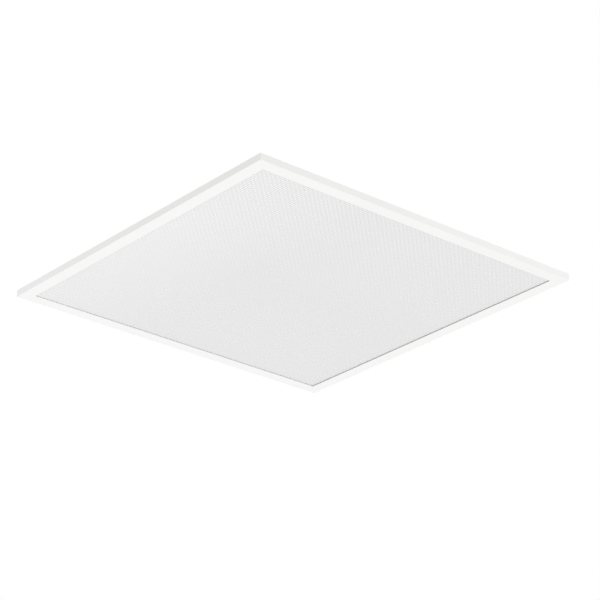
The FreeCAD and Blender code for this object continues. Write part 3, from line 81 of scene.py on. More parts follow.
class Value:
    """A number in a shader: a node's output socket that takes part in Python arithmetic."""

    def __init__(self, graph: "Graph", socket: bpy.types.NodeSocket) -> None:
        """Keeps the graph that the socket belongs to."""
        self.graph = graph
        self.socket = socket

    def math(self, operation: str, *others: "Number") -> "Value":
        """Returns the result of one Math node that starts from this value."""
        return self.graph.math(operation, self, *others)

    def __add__(self, other: "Number") -> "Value":
        """Returns this value plus another."""
        return self.math("ADD", other)

    __radd__ = __add__

    def __sub__(self, other: "Number") -> "Value":
        """Returns this value less another."""
        return self.math("SUBTRACT", other)

    def __rsub__(self, other: "Number") -> "Value":
        """Returns another value less this one."""
        return self.graph.math("SUBTRACT", other, self)

    def __mul__(self, other: "Number") -> "Value":
        """Returns this value times another."""
        return self.math("MULTIPLY", other)

    __rmul__ = __mul__

    def __abs__(self) -> "Value":
        """Returns the value without its sign."""
        return self.math("ABSOLUTE")

    def below(self, limit: float) -> "Value":
        """Returns 1 where this value is below a limit, and 0 elsewhere."""
        return self.math("LESS_THAN", limit)

    def above(self, limit: float) -> "Value":
        """Returns 1 where this value is above a limit, and 0 elsewhere."""
        return self.math("GREATER_THAN", limit)

    def most(self, other: "Number") -> "Value":
        """Returns the larger of two values."""
        return self.math("MAXIMUM", other)

    def triangle(self, period: float) -> "Value":
        """Returns the distance to the nearest multiple of a period."""
        return self.math("PINGPONG", period / 2)

    def zigzag(self, period: float) -> "Value":
        """Returns an even zigzag from -1 at each multiple of a period to 1 halfway between two."""
        return self.triangle(period) * (4 / period) - 1.0

    def ramp(self, low: float, high: float) -> "Value":
        """Returns 0 at low and before it, 1 at high and past it, and a straight slope between them."""
        sockets = {"Value": self, "From Min": low, "From Max": high}
        return Value(self.graph, self.graph.node("ShaderNodeMapRange", sockets=sockets).outputs["Result"])

    def spread(self, half: float = 0.15) -> "Value":
        """Returns what lies within half of 0.5 stretched to 0 to 1, which gives blotches clearer edges."""
        return self.ramp(0.5 - half, 0.5 + half)

    def about(self, middle: "Number", span: float) -> "Value":
        """Returns a middle value plus a span times how far this value lies above 0.5."""
        return middle + span * (self - 0.5)


Number = Union[Value, float]
Tint = Union[Color, bpy.types.NodeSocket]
Inputs = dict[str, Any]


class Graph:
    """The nodes of one material, or of the world."""

    MIX_FACTOR, MIX_A, MIX_B, MIX_RESULT = 0, 6, 7, 2
    WALL_FACING = 0.5

    def __init__(self, owner: Union[bpy.types.Material, bpy.types.World]) -> None:
        """Empties the owner's node tree and reads Object coordinates."""
        owner.use_nodes = True
        self.tree = owner.node_tree
        self.tree.nodes.clear()
        self.place = self.node("ShaderNodeTexCoord").outputs["Object"]
        apart = self.node("ShaderNodeSeparateXYZ", sockets={"Vector": self.place})
        self.x, self.y, self.z = (Value(self, socket) for socket in apart.outputs)

    def node(
        self, kind: str, settings: Optional[dict[str, Any]] = None, sockets: Optional[dict[Any, Any]] = None
    ) -> bpy.types.Node:
        """Adds a node, sets it up, and then fills its sockets.

        Args:
            kind: The node's type.
            settings: Its properties, such as an operation, by name.
            sockets: Its inputs by name or number, each a constant, a socket or a Value.

        Returns:
            The new node.
        """
        made = self.tree.nodes.new(kind)
        for name, setting in (settings or {}).items():
            setattr(made, name, setting)
        for key, entry in (sockets or {}).items():
            source = entry.socket if isinstance(entry, Value) else entry
            if isinstance(source, bpy.types.NodeSocket):
                self.tree.links.new(source, made.inputs[key])
            else:
                made.inputs[key].default_value = source
        return made

    def math(self, operation: str, *values: Number) -> Value:
        """Returns the result of a Math node with these inputs."""
        made = self.node("ShaderNodeMath", {"operation": operation}, dict(enumerate(values)))
        return Value(self, made.outputs[0])

    def noise(self, scale: Union[float, Stretch], detail: float = 3.0) -> Value:
        """Adds soft random blotches.

        Args:
            scale: Blotches per metre, one number for all ways or three along X, Y and Z.
            detail: How many finer layers are added.

        Returns:
            A value about 0.5.
        """
        place = self.place
        if isinstance(scale, tuple):
            mapping = self.node("ShaderNodeMapping", sockets={"Vector": place, "Scale": scale})
            place, scale = mapping.outputs["Vector"], 1.0
        sockets = {"Vector": place, "Scale": scale, "Detail": detail}
        return Value(self, self.node("ShaderNodeTexNoise", sockets=sockets).outputs[0])

    def cells(self, scale: float, **settings: Any) -> bpy.types.Node:
        """Returns the node of a pattern of random cells, so many per metre, with further settings."""
        return self.node("ShaderNodeTexVoronoi", settings, {"Vector": self.place, "Scale": scale})

    def dots(self, pitch: float, radius: float) -> Value:
        """Adds round dots on a square lattice with one dot at the origin.

        A dot is where the distances to the nearest rows along X and Y, squared and added, stay below the
        radius squared.

        Args:
            pitch: From one dot's middle to the next.
            radius: A dot's radius.

        Returns:
            1 on the dots and 0 elsewhere.
        """
        along, across = (abs(place).triangle(pitch) for place in (self.x, self.y))
        return (along * along + across * across).below(radius * radius)

    def facing(self, axis: str) -> Value:
        """Returns how far the surface faces along X, Y or Z, from -1 to 1."""
        normal = self.node("ShaderNodeTexCoord").outputs["Normal"]
        apart = self.node("ShaderNodeSeparateXYZ", sockets={"Vector": normal})
        return Value(self, apart.outputs[axis])

    def walls(self) -> Value:
        """Returns 1 on upright walls, which face 60 degrees or more off Z, and 0 elsewhere."""
        return abs(self.facing("Z")).below(self.WALL_FACING)

    def mixed(self, factor: Number, low: Tint, high: Tint) -> bpy.types.NodeSocket:
        """Blends two colours.

        Args:
            factor: 0 for the first colour and 1 for the second.
            low: The first colour.
            high: The second colour.

        Returns:
            The blended colour's socket.
        """
        ends = [opaque(tint) if isinstance(tint, tuple) else tint for tint in (low, high)]
        sockets = {self.MIX_FACTOR: factor, self.MIX_A: ends[0], self.MIX_B: ends[1]}
        return self.node("ShaderNodeMix", {"data_type": "RGBA"}, sockets).outputs[self.MIX_RESULT]

    def scaled(self, color: bpy.types.NodeSocket, factor: float) -> bpy.types.NodeSocket:
        """Returns the socket of a linked colour made lighter or darker by a factor."""
        node = self.node("ShaderNodeVectorMath", {"operation": "SCALE"}, {"Vector": color, "Scale": factor})
        return node.outputs["Vector"]

    def bump(self, height: Value, depth: float) -> bpy.types.NodeSocket:
        """Returns the normal of a relief in which a height of 1 measures depth metres."""
        return self.node("ShaderNodeBump", sockets={"Height": height, "Distance": depth}).outputs["Normal"]

    def toned(self, factor: Number, color: Color, shade: float) -> bpy.types.NodeSocket:
        """Returns a colour, scaled by a shade where the factor is 0 and plain where it is 1."""
        return self.mixed(factor, tinted(color, shade), color)

    def finish(self, **inputs: Any) -> None:
        """Ends a material in a Principled surface with these inputs, named with underscores."""
        named = {
            name.replace("_", " "): opaque(entry) if isinstance(entry, tuple) else entry
            for name, entry in inputs.items()
        }
        surface = self.node("ShaderNodeBsdfPrincipled", sockets=named)
        self.node("ShaderNodeOutputMaterial", sockets={"Surface": surface.outputs["BSDF"]})


# ------------------------------------------------------------------ finishes

@dataclass(frozen=True)
class Finish:
    """One surface finish, named after the record's material slot that it dresses."""

    slot: str
    color: Color

    def inputs(self, graph: Graph) -> Inputs:
        """Returns the inputs of the Principled surface that shows this finish."""
        raise NotImplementedError

    def build(self) -> bpy.types.Material:
        """Returns the finish as a material."""
        material = bpy.data.materials.new(self.slot)
        graph = Graph(material)
        graph.finish(**self.inputs(graph))
        return material


@dataclass(frozen=True)
class PowderCoat(Finish):
    """Baked powder paint: a satin skin with fine orange peel and a barely uneven tone."""

    roughness: float = 0.45
    roughness_span: float = 0.1
    peel: float = 900.0
    relief: float = 0.006 * MM
    patches: float = 7.0
    patch_shade: float = 0.985

    def patch(self, graph: Graph) -> Value:
        """Returns the coat's broad patches, from 0 to 1."""
        return graph.noise(self.patches).spread()

    def base(self, graph: Graph) -> bpy.types.NodeSocket:
        """Returns the paint's colour, slightly deeper in broad patches."""
        return graph.toned(self.patch(graph), self.color, self.patch_shade)

    def inputs(self, graph: Graph) -> Inputs:
        """Returns the paint's inputs."""
        skin = graph.noise(self.peel, detail=1.0)
        return dict(
            Base_Color=self.base(graph),
            Roughness=skin.about(self.roughness, self.roughness_span),
            Normal=graph.bump(skin, self.relief),
        )


@dataclass(frozen=True)
class FrameCoat(PowderCoat):
    """The frame's white coat, with painted light that grows from the front left corner on, hairlines at the
    mitres and painted shade on the lip.
    """

    # The painted light spans deepest to lightest over reach: up to rim_level on the rim, and from face_level
    # on the face.
    deepest: float = 0.945
    lightest: Color = (0.958, 0.958, 0.954)
    reach: float = 0.0
    rim_level: float = 0.9
    face_level: float = 0.55
    patch_span: float = 0.18
    mitre_half: float = 0.06 * MM
    mitre_shade: float = 0.7
    opening: float = 0.0
    opening_slack: float = 0.1 * MM
    lip_start: float = 0.3 * MM
    # Painted shade on the lip of the opening, and painted light on it where it faces along Y.
    lip_shade_color: Color = (0.36, 0.36, 0.355)
    lit_lip_color: Color = (0.66, 0.66, 0.65)
    lit_lip_facing: float = 0.7

    def base(self, graph: Graph) -> bpy.types.NodeSocket:
        """Returns the paint's colour, with painted shade on the lip, the opening's wall, and a hairline on
        each mitre.

        Painted light makes the rim grow lighter with X plus Y, from the front left corner on, and the face,
        less so, with Y. A mitre is where X and Y are equally large. The lip is what lies inside the opening,
        above its start; its painted shade is lighter, as painted light, where the wall faces along Y.
        """
        rim = graph.walls()
        # Painted light: the rim grows lighter from the front left corner on, and the face with Y.
        outward = (graph.x + graph.y).ramp(-2 * self.reach, 0.0) * self.rim_level
        onward = self.face_level + (1.0 - self.face_level) * graph.y.ramp(-self.reach, self.reach)
        level = self.patch(graph).about(rim * outward + (1.0 - rim) * onward, self.patch_span)
        skin = graph.mixed(level, tinted(self.color, self.deepest), self.lightest)
        mitre = abs(abs(graph.x) - abs(graph.y)).below(self.mitre_half)
        skin = graph.mixed(mitre, skin, tinted(self.color, self.mitre_shade))
        # Painted shade on the opening's lip, made lighter as painted light where the wall faces along Y.
        lit = abs(graph.facing("Y")).above(self.lit_lip_facing)
        wall = graph.mixed(lit, self.lip_shade_color, self.lit_lip_color)
        inside = abs(graph.x).most(abs(graph.y)).below(self.opening + self.opening_slack)
        return graph.mixed(inside * graph.z.above(self.lip_start), skin, wall)


@dataclass(frozen=True)
class PrismPlastic(Finish):
    """Opal plastic moulded with small prisms, with painted shade in the grooves between them and painted
    light on their tips.

    A pair of places is where a change of tone starts and where it is complete.
    """

    pitch: float = 4.2 * MM
    # Painted shade in the grooves and painted light on the tips, fainter away from the front.
    groove_painted_shade: float = 0.24
    pair_painted_shade: float = 0.1
    faint: float = 0.2
    clear_places: tuple[float, float] = (0.0, -0.3)
    clear_slant: float = 0.25
    # Painted light towards the left edge, less near the front corner, and towards the back.
    left_painted_light: float = 1.065
    left_places: tuple[float, float] = (-0.08, -0.26)
    corner_loss: float = 0.6
    corner_places: tuple[float, float] = (-0.05, -0.27)
    back_painted_light: float = 1.015
    back_places: tuple[float, float] = (0.0, 0.2)
    hazes: float = 5.0
    haze_half: float = 0.2
    haze_shade: float = 0.99
    tone_half: float = 0.5
    roughness: float = 0.5
    roughness_span: float = 0.1
    grit: float = 600.0

    def tone(self, graph: Graph) -> Value:
        """Returns the painted light and shade: how much lighter a place on a prism is than the plate.

        Along X and along Y an even zigzag runs from -1 in the grooves to 1 over the prisms' tips, and a
        second one, at twice the pitch, tells one prism from the next. The tone is the sum of the first two
        and the product of the second two, and this painted light and shade shows most along the front.
        """
        grooves = [place.zigzag(self.pitch) for place in (graph.x, graph.y)]
        pairs = [(place + self.pitch / 2).zigzag(2 * self.pitch) for place in (graph.x, graph.y)]
        tone = (grooves[0] + grooves[1]) * (self.groove_painted_shade / 2) + pairs[0] * pairs[1] * self.pair_painted_shade
        clear = (graph.y + self.clear_slant * graph.x).ramp(*self.clear_places)
        return tone * (self.faint + (1.0 - self.faint) * clear)

    def body(self, graph: Graph) -> bpy.types.NodeSocket:
        """Returns the plate's colour, with painted light a little brighter towards its back and its left
        edge.
        """
        haze = graph.noise(self.hazes).spread(self.haze_half)
        body = graph.toned(haze, self.color, self.haze_shade)
        # Painted light: brighter towards the back, and towards the left edge but less near the front corner.
        body = graph.mixed(graph.y.ramp(*self.back_places), body, tinted(self.color, self.back_painted_light))
        kept = 1.0 - self.corner_loss * graph.y.ramp(*self.corner_places)
        left = graph.x.ramp(*self.left_places) * kept
        return graph.mixed(left, body, tinted(self.color, self.left_painted_light))

    def inputs(self, graph: Graph) -> Inputs:
        """Returns the opal plastic's inputs.

        The colour is the body's times 1 plus the tone, as a blend of the body's colour made darker by
        tone_half and made lighter by it.
        """
        body = self.body(graph)
        # Painted light and shade: the body's colour made lighter and darker by the tone.
        ends = [graph.scaled(body, 1.0 + side * self.tone_half) for side in (-1, 1)]
        return dict(
            Base_Color=graph.mixed(0.5 + self.tone(graph) * (0.5 / self.tone_half), *ends),
            Roughness=self.roughness + self.roughness_span * graph.noise(self.grit),
            IOR=CLEAR_IOR,
        )


class Grain(Enum):
    """Which way a metal's fine lines run, as pattern lines per metre along X, Y and Z."""

    ALONG_X = (60.0, 3000.0, 3000.0)
    CAST = (900.0, 900.0, 900.0)


@dataclass(frozen=True)
class Metal(Finish):
    """Bare or plated metal with rolled, drawn or cast grain and duller patches."""

    roughness: float = 0.35
    grain: Grain = Grain.ALONG_X
    grain_span: float = 0.25
    relief: float = 0.01 * MM
    patch: float = 160.0
    patch_span: float = -0.06
    dull: float = 0.8

    def patches(self, graph: Graph) -> Value:
        """Returns the metal's patches, from 0 where it is dull to 1."""
        return graph.noise(self.patch).spread()

    def inputs(self, graph: Graph) -> Inputs:
        """Returns the metal's inputs."""
        lines = graph.noise(self.grain.value, detail=4.0)
        patches = self.patches(graph)
        return dict(
            Base_Color=graph.toned(patches, self.color, self.dull),
            Metallic=1.0,
            Roughness=lines.about(self.roughness, self.grain_span) + self.patch_span * patches,
            Normal=graph.bump(lines, self.relief),
        )


@dataclass(frozen=True)
class Spangled(Metal):
    """Zinc-coated sheet, whose crystals show as faint flat patches of grey."""

    roughness: float = 0.26
    grain_span: float = 0.1
    patch: float = 380.0
    patch_span: float = 0.18

    def patches(self, graph: Graph) -> Value:
        """Returns one random level for each crystal."""
        color = graph.cells(self.patch).outputs["Color"]
        return Value(graph, graph.node("ShaderNodeSeparateColor", sockets={"Color": color}).outputs[0])


@dataclass(frozen=True)
class Moulded(Finish):
    """Injection-moulded plastic with a spark-eroded surface, faint flow marks and maybe a parting line."""

    roughness: float = 0.5
    roughness_span: float = 0.15
    spark: float = 1800.0
    relief: float = 0.012 * MM
    flow: Stretch = (25.0, 90.0, 90.0)
    flow_shade: float = 0.95
    seam: Optional[float] = None
    seam_half: float = 0.15 * MM
    seam_shade: float = 0.5

    def inputs(self, graph: Graph) -> Inputs:
        """Returns the plastic's inputs: a parting line is a dark hairline round the sides at a height."""
        texture = graph.noise(self.spark, detail=2.0)
        body = graph.toned(graph.noise(self.flow).spread(), self.color, self.flow_shade)
        if self.seam is not None:
            line = abs(graph.z - self.seam).below(self.seam_half) * graph.walls()
            body = graph.mixed(line, body, tinted(self.color, self.seam_shade))
        return dict(
            Base_Color=body,
            Roughness=texture.about(self.roughness, self.roughness_span),
            Normal=graph.bump(texture, self.relief),
        )


@dataclass(frozen=True)
class Sheeting(Finish):
    """Thin film or foil, with the slight waves of a sheet that was rolled up."""

    roughness: float = 0.4
    roughness_span: float = 0.1
    waves: Stretch = (5.0, 40.0, 5.0)
    wave_half: float = 0.2
    wave_shade: float = 0.97
    relief: float = 0.04 * MM

    def inputs(self, graph: Graph) -> Inputs:
        """Returns the film's inputs."""
        waves = graph.noise(self.waves, detail=2.0)
        shown = waves.spread(self.wave_half)
        return dict(
            Base_Color=graph.toned(shown, self.color, self.wave_shade),
            Roughness=waves.about(self.roughness, self.roughness_span),
            Normal=graph.bump(waves, self.relief),
        )


@dataclass(frozen=True)
class DottedAcrylic(Finish):
    """Clear acrylic with white printed dots on an even lattice, which throw the light out."""

    pitch: float = 2.0 * MM
    dot: float = 0.45 * MM
    dot_color: Color = (0.95, 0.95, 0.94)
    roughness: float = 0.04
    dot_roughness: float = 0.5
    clearness: float = 0.75

    def inputs(self, graph: Graph) -> Inputs:
        """Returns the printed acrylic's inputs."""
        printed = graph.dots(self.pitch, self.dot)
        return dict(
            Base_Color=graph.mixed(printed, self.color, self.dot_color),
            Roughness=self.roughness + self.dot_roughness * printed,
            Transmission_Weight=self.clearness,
            IOR=CLEAR_IOR,
        )


@dataclass(frozen=True)
class Cellular(Finish):
    """Foam or rubber: small closed cells or a dull skin, without gloss."""

    cell: float = 1400.0
    cell_ends: tuple[float, float] = (0.1, 0.7)
    roughness: float = 0.85
    roughness_loss: float = 0.1
    relief: float = 0.08 * MM
    pore_shade: float = 0.82

    def inputs(self, graph: Graph) -> Inputs:
        """Returns the foam's or rubber's inputs."""
        depth = Value(graph, graph.cells(self.cell).outputs["Distance"])
        pore = depth.ramp(*self.cell_ends)
        return dict(
            Base_Color=graph.mixed(pore, self.color, tinted(self.color, self.pore_shade)),
            Roughness=self.roughness - self.roughness_loss * depth,
            Normal=graph.bump(depth, -self.relief),
        )


@dataclass(frozen=True)
class CircuitBoard(Finish):
    """Laminate with a coloured mask over copper tracks, and tinned pads on an even lattice."""

    track: Color = (0.16, 0.42, 0.27)
    pad: Color = (0.78, 0.78, 0.76)
    block: float = 55.0
    rings: float = 0.12
    track_share: float = 0.4
    pad_pitch: float = 5.08 * MM
    pad_radius: float = 0.7 * MM
    copper: float = 0.035 * MM
    roughness: float = 0.35
    roughness_span: float = 0.05
    grit: float = 400.0

    def inputs(self, graph: Graph) -> Inputs:
        """Returns the board's inputs.

        The tracks are level lines of the distance, measured along the sides of a square, to scattered
        points, so that they run straight and turn at right angles.
        """
        spread = graph.cells(self.block, distance="CHEBYCHEV", voronoi_dimensions="2D").outputs["Distance"]
        track = Value(graph, spread).triangle(self.rings).below(self.rings * self.track_share / 2)
        pad = graph.dots(self.pad_pitch, self.pad_radius)
        return dict(
            Base_Color=graph.mixed(pad, graph.mixed(track, self.color, self.track), self.pad),
            Metallic=pad,
            Roughness=self.roughness + self.roughness_span * graph.noise(self.grit),
            Normal=graph.bump(track.most(pad), self.copper),
        )


@dataclass(frozen=True)
class LedFace(Finish):
    """White LED housings, each with a yellow phosphor window on the face that looks into the guide."""

    window: Color = (0.93, 0.76, 0.2)
    window_facing: float = 0.9
    pitch: float = 9.2 * MM
    half_width: float = 1.35 * MM
    half_height: float = 0.95 * MM
    level: float = 4.8 * MM
    grains: float = 900.0
    grain_shade: float = 0.92
    roughness: float = 0.28
    window_roughness: float = 0.25

    def inputs(self, graph: Graph) -> Inputs:
        """Returns the LEDs' inputs: a window is a rectangle round each LED's middle."""
        off_middle = self.pitch / 2 - abs(graph.y).triangle(self.pitch)
        window = off_middle.below(self.half_width) * abs(graph.z - self.level).below(self.half_height)
        window = window * abs(graph.facing("X")).above(self.window_facing)
        phosphor = graph.toned(graph.noise(self.grains), self.window, self.grain_shade)
        return dict(
            Base_Color=graph.mixed(window, self.color, phosphor),
            Roughness=self.roughness + self.window_roughness * window,
        )


@dataclass(frozen=True)
class Taped(Finish):
    """Polyester tape wound in level bands that overlap, each darker where it meets the next."""

    band: float = 3.2 * MM
    edge_share: float = 0.125
    edge_shade: float = 0.8
    wrinkles: Stretch = (90.0, 90.0, 900.0)
    wrinkle_share: float = 0.3
    relief: float = 0.06 * MM
    roughness: float = 0.25
    roughness_span: float = 0.15

    def inputs(self, graph: Graph) -> Inputs:
        """Returns the tape's inputs."""
        crown = graph.z.triangle(self.band).ramp(0.0, self.band * self.edge_share)
        wrinkle = graph.noise(self.wrinkles)
        return dict(
            Base_Color=graph.toned(crown, self.color, self.edge_shade),
            Roughness=self.roughness + self.roughness_span * wrinkle,
            Normal=graph.bump(crown + wrinkle * self.wrinkle_share, self.relief),
        )


@dataclass(frozen=True)
class CanSleeve(Finish):
    """A capacitor's dark shrink sleeve with its pale polarity stripe, and its top of brushed bare metal."""

    stripe: Color = (0.6, 0.62, 0.66)
    stripe_facing: float = -0.87
    bare: Color = (0.77, 0.77, 0.78)
    bare_facing: float = 0.98
    roughness: float = 0.28
    brush_roughness: float = 0.15
    brush_relief: float = 0.01 * MM

    def inputs(self, graph: Graph) -> Inputs:
        """Returns the can's inputs: the stripe is where the wall faces within 30 degrees of -X."""
        top = graph.facing("Z").above(self.bare_facing)
        stripe = graph.facing("X").below(self.stripe_facing)
        brushed = graph.noise(Grain.ALONG_X.value) * top
        return dict(
            Base_Color=graph.mixed(top, graph.mixed(stripe, self.color, self.stripe), self.bare),
            Metallic=top,
            Roughness=self.roughness + self.brush_roughness * brushed,
            Normal=graph.bump(brushed, self.brush_relief),
        )


@dataclass(frozen=True)
class Insulation(Finish):
    """A wire's vinyl skin, plain or with a stripe of a second colour along it."""

    stripe: Optional[Color] = None
    stripe_facing: float = 0.75
    rubs: float = 700.0
    rub_shade: float = 0.88
    relief: float = 0.01 * MM
    roughness: float = 0.36
    roughness_span: float = 0.12

    def inputs(self, graph: Graph) -> Inputs:
        """Returns the skin's inputs: the stripe lies where the wire faces up or down."""
        rubbed = graph.noise(self.rubs)
        skin = graph.toned(rubbed.spread(), self.color, self.rub_shade)
        if self.stripe:
            skin = graph.mixed(abs(graph.facing("Z")).above(self.stripe_facing), skin, self.stripe)
        return dict(
            Base_Color=skin,
            Roughness=self.roughness + self.roughness_span * rubbed,
            Normal=graph.bump(rubbed, self.relief),
        )


# ------------------------------------------------------------------ surfaces

Array = np.ndarray
Row = Union[float, Array]


def even_angles(count: int) -> Array:
    """Returns the angles of points spread evenly round a circle."""
    return np.arange(count) / count * 2 * math.pi


class Surface:
    """A mesh put together from patches, each a grid of points worked out as one array.

    Edges are smoothed below SOFT_EDGE or, on round wire, WIRE_EDGE degrees.
    """

    ROUND_SIDES = 48
    CORNER_POINTS = 7
    TURN_STEPS = 24
    TURN_PITCH = 1.05
    WIRE_SIDES = 8
    SOFT_EDGE = 35.0
    WIRE_EDGE = 50.0

    def __init__(self) -> None:
        """Starts without points or faces."""
        self.points: list[Array] = []
        self.faces: list[Sequence[int]] = []
        self.count = 0

    def add(self, points: Array) -> Array:
        """Adds points in any array shape and returns their numbers in the same shape."""
        flat = points.reshape(-1, 3)
        numbers = np.arange(self.count, self.count + len(flat)).reshape(points.shape[:-1])
        self.points.append(flat)
        self.count += len(flat)
        return numbers

    def cover(self, numbers: Array, around: bool = False) -> None:
        """Covers a grid of points with four-sided faces.

        Args:
            numbers: The points' numbers, in rows and columns.
            around: Whether each row closes on itself.
        """
        ahead = np.roll(numbers, -1, axis=1) if around else numbers[:, 1:]
        here = numbers if around else numbers[:, :-1]
        quads = np.stack([here[:-1], ahead[:-1], ahead[1:], here[1:]], axis=-1)
        self.faces.extend(quads.reshape(-1, 4).tolist())

    def tube(self, rings: Array) -> None:
        """Covers closed rings of points, one after another, and closes both ends.

        Args:
            rings: The points of each ring, in rows.
        """
        numbers = self.add(rings)
        self.cover(numbers, around=True)
        self.faces.append(numbers[0][::-1].tolist())
        self.faces.append(numbers[-1].tolist())

    def revolve(
        self, rings: Iterable[tuple[Row, Row]], axis: Array, angles: Optional[Array] = None
    ) -> None:
        """Adds a closed surface of rings round an upright axis.

        A point lies off the axis by its radius times the cosine and the sine of its angle, at its level.

        Args:
            rings: Each ring's radius and level, each one number or one for every point.
            axis: The axis's place in plan.
            angles: The angles of a ring's points, if they aren't spread evenly.
        """
        angles = even_angles(self.ROUND_SIDES) if angles is None else angles
        cosine, sine = np.cos(angles), np.sin(angles)
        self.tube(np.stack([
            np.stack(np.broadcast_arrays(axis[0] + radius * cosine, axis[1] + radius * sine, level), axis=-1)
            for radius, level in rings
        ]))

    def block(self, low: Array, high: Array, corner: float, profile: Array) -> None:
        """Adds a closed block with rounded upright corners.

        A point lies off its corner's centre by the corner radius less the profile's inset, times the cosine
        and the sine of an angle, at the profile's level.

        Args:
            low: The block's lowest corner.
            high: The block's highest corner.
            corner: The radius of the upright corners.
            profile: Rows of an inset and a level, from the bottom to the top.
        """
        quarter = np.linspace(0, math.pi / 2, self.CORNER_POINTS)
        turns = (np.arange(4)[:, None] * math.pi / 2 + quarter).ravel()
        way = np.stack([np.cos(turns), np.sin(turns)], axis=-1)
        signs = np.repeat([[1, 1], [-1, 1], [-1, -1], [1, -1]], len(quarter), axis=0)
        centre = (low[:2] + high[:2]) / 2 + signs * ((high[:2] - low[:2]) / 2 - corner)
        plan = centre + (corner - profile[:, :1, None]) * way
        level = np.broadcast_to(profile[:, 1:, None], (*plan.shape[:2], 1))
        self.tube(np.concatenate([plan, level], axis=-1))

    def coil(self, axis: Array, radius: float, wire: float, low: float, high: float) -> None:
        """Adds a round wire wound close in a helix.

        The wire's middle runs round the axis and climbs by a little more than its own diameter each turn. A
        point of its skin lies off the middle by half the wire, times the cosine of a second angle outwards
        and its sine square to that and to the wire.

        Args:
            axis: The axis's place in plan.
            radius: The radius of the wire's middle.
            wire: The wire's diameter.
            low: The level of the first turn's middle.
            high: The level of the last turn's middle.
        """
        turns = math.floor((high - low) / (wire * self.TURN_PITCH))
        angle = np.linspace(0, 2 * math.pi * turns, self.TURN_STEPS * turns + 1)
        climb = (high - low) / angle[-1]
        flat = np.zeros_like(angle)
        outward = np.stack([np.cos(angle), np.sin(angle), flat], axis=-1)
        along = np.stack([-radius * np.sin(angle), radius * np.cos(angle), flat + climb], axis=-1)
        across = np.cross(along / np.linalg.norm(along, axis=-1, keepdims=True), outward)
        middle = np.array([axis[0], axis[1], low]) + radius * outward
        middle[:, 2] += climb * angle
        skin = even_angles(self.WIRE_SIDES)
        reach = np.cos(skin)[:, None] * outward[:, None] + np.sin(skin)[:, None] * across[:, None]
        self.tube(middle[:, None] + wire / 2 * reach)

    def piece(self, name: str, smooth: float = SOFT_EDGE) -> bpy.types.Object:
        """Makes the mesh object, with its faces pointing outwards.

        Args:
            name: The object's name.
            smooth: Faces that meet at less than this angle in degrees are shaded as one.

        Returns:
            The object, which sits at the origin.
        """
        mesh = bpy.data.meshes.new(name)
        mesh.from_pydata(np.concatenate(self.points), [], self.faces)
        work = bmesh.new()
        work.from_mesh(mesh)
        bmesh.ops.recalc_face_normals(work, faces=work.faces)
        work.to_mesh(mesh)
        work.free()
        if smooth:
            mesh.polygons.foreach_set("use_smooth", np.ones(len(mesh.polygons), dtype=bool))
            mesh.set_sharp_from_angle(angle=math.radians(smooth))
        made = bpy.data.objects.new(name, mesh)
        bpy.context.scene.collection.objects.link(made)
        return made


def node_points(node: str) -> Array:
    """Returns the points of a CAD node's mesh, each once."""
    vertices = frame["nodes"][node].data.vertices
    points = np.empty(3 * len(vertices))
    vertices.foreach_get("co", points)
    return np.unique(points.reshape(-1, 3).round(SAME_PLACE_DIGITS), axis=0)


def solids(node: str, reach: float) -> list[Array]:
    """Returns the points of each solid in a node: all that lie within reach, in plan, of one of them."""
    points = node_points(node)
    found = []
    while len(points):
        near = np.linalg.norm(points[:, :2] - points[0, :2], axis=1) < reach
        found.append(points[near])
        points = points[~near]
    return found


def edges(node: str) -> tuple[Array, Array]:
    """Returns a node's lowest and highest corners as arrays."""
    low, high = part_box(node)
    return np.array(low), np.array(high)


def upright(low: Array, high: Array) -> tuple[Array, float]:
    """Returns the middle and the radius of the upright cylinder that fills a box."""
    return (low + high) / 2, (high[0] - low[0]) / 2


# ------------------------------------------------------------------ dressing and placing

class Workshop:
    """Holds the finishes, and puts them on CAD nodes and new pieces."""

    def __init__(self, finishes: Iterable[Finish]) -> None:
        """Reads from the record which slot and body each node has."""
        self.finishes = {finish.slot: finish for finish in finishes}
        self.materials: dict[str, bpy.types.Material] = {}
        record = frame["record"]
        self.slots = {part["node"]: part["material_slot"] for part in record["subparts"]}
        self.bodies = {
            node: body for body, nodes in record["behaviour"]["bodies"].items() for node in nodes
        }

    def material(self, slot: str) -> bpy.types.Material:
        """Returns a slot's material, built when it is first asked for."""
        if slot not in self.materials:
            self.materials[slot] = self.finishes[slot].build()
        return self.materials[slot]

    def dress(self, nodes: Iterable[str]) -> None:
        """Puts each named CAD node's own finish on it."""
        for node in nodes:
            for holder in frame["nodes"][node].material_slots:
                holder.material = self.material(self.slots[node])
            log.info("dressed %s in %s", node, self.slots[node])

    def place(self, piece: bpy.types.Object, node: str, slot: Optional[str] = None) -> None:
        """Lets a new piece stand for a CAD node, on its body and in its finish or another one.

        Args:
            piece: The new piece.
            node: The node that it stands for.
            slot: Another slot than the node's.
        """
        slot = slot or self.slots[node]
        piece.data.materials.append(self.material(slot))
        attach(piece, self.bodies[node])
        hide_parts(node)
        log.info("made %s for %s: %d faces", piece.name, node, len(piece.data.polygons))


@dataclass
class Assembly:
    """A group of pieces that belong together on the light."""

    nodes: tuple[str, ...] = ()

    def make(self, workshop: Workshop) -> None:
        """Dresses the CAD nodes of the group."""
        workshop.dress(self.nodes)


# ------------------------------------------------------------------ the face

@dataclass
class Frame(Assembly):
    """The four mitred rails and the keys in their corners."""

    nodes: tuple[str, ...] = (
        "frame_rail_front", "frame_rail_right", "frame_rail_back", "frame_rail_left", "corner_keys",
    )


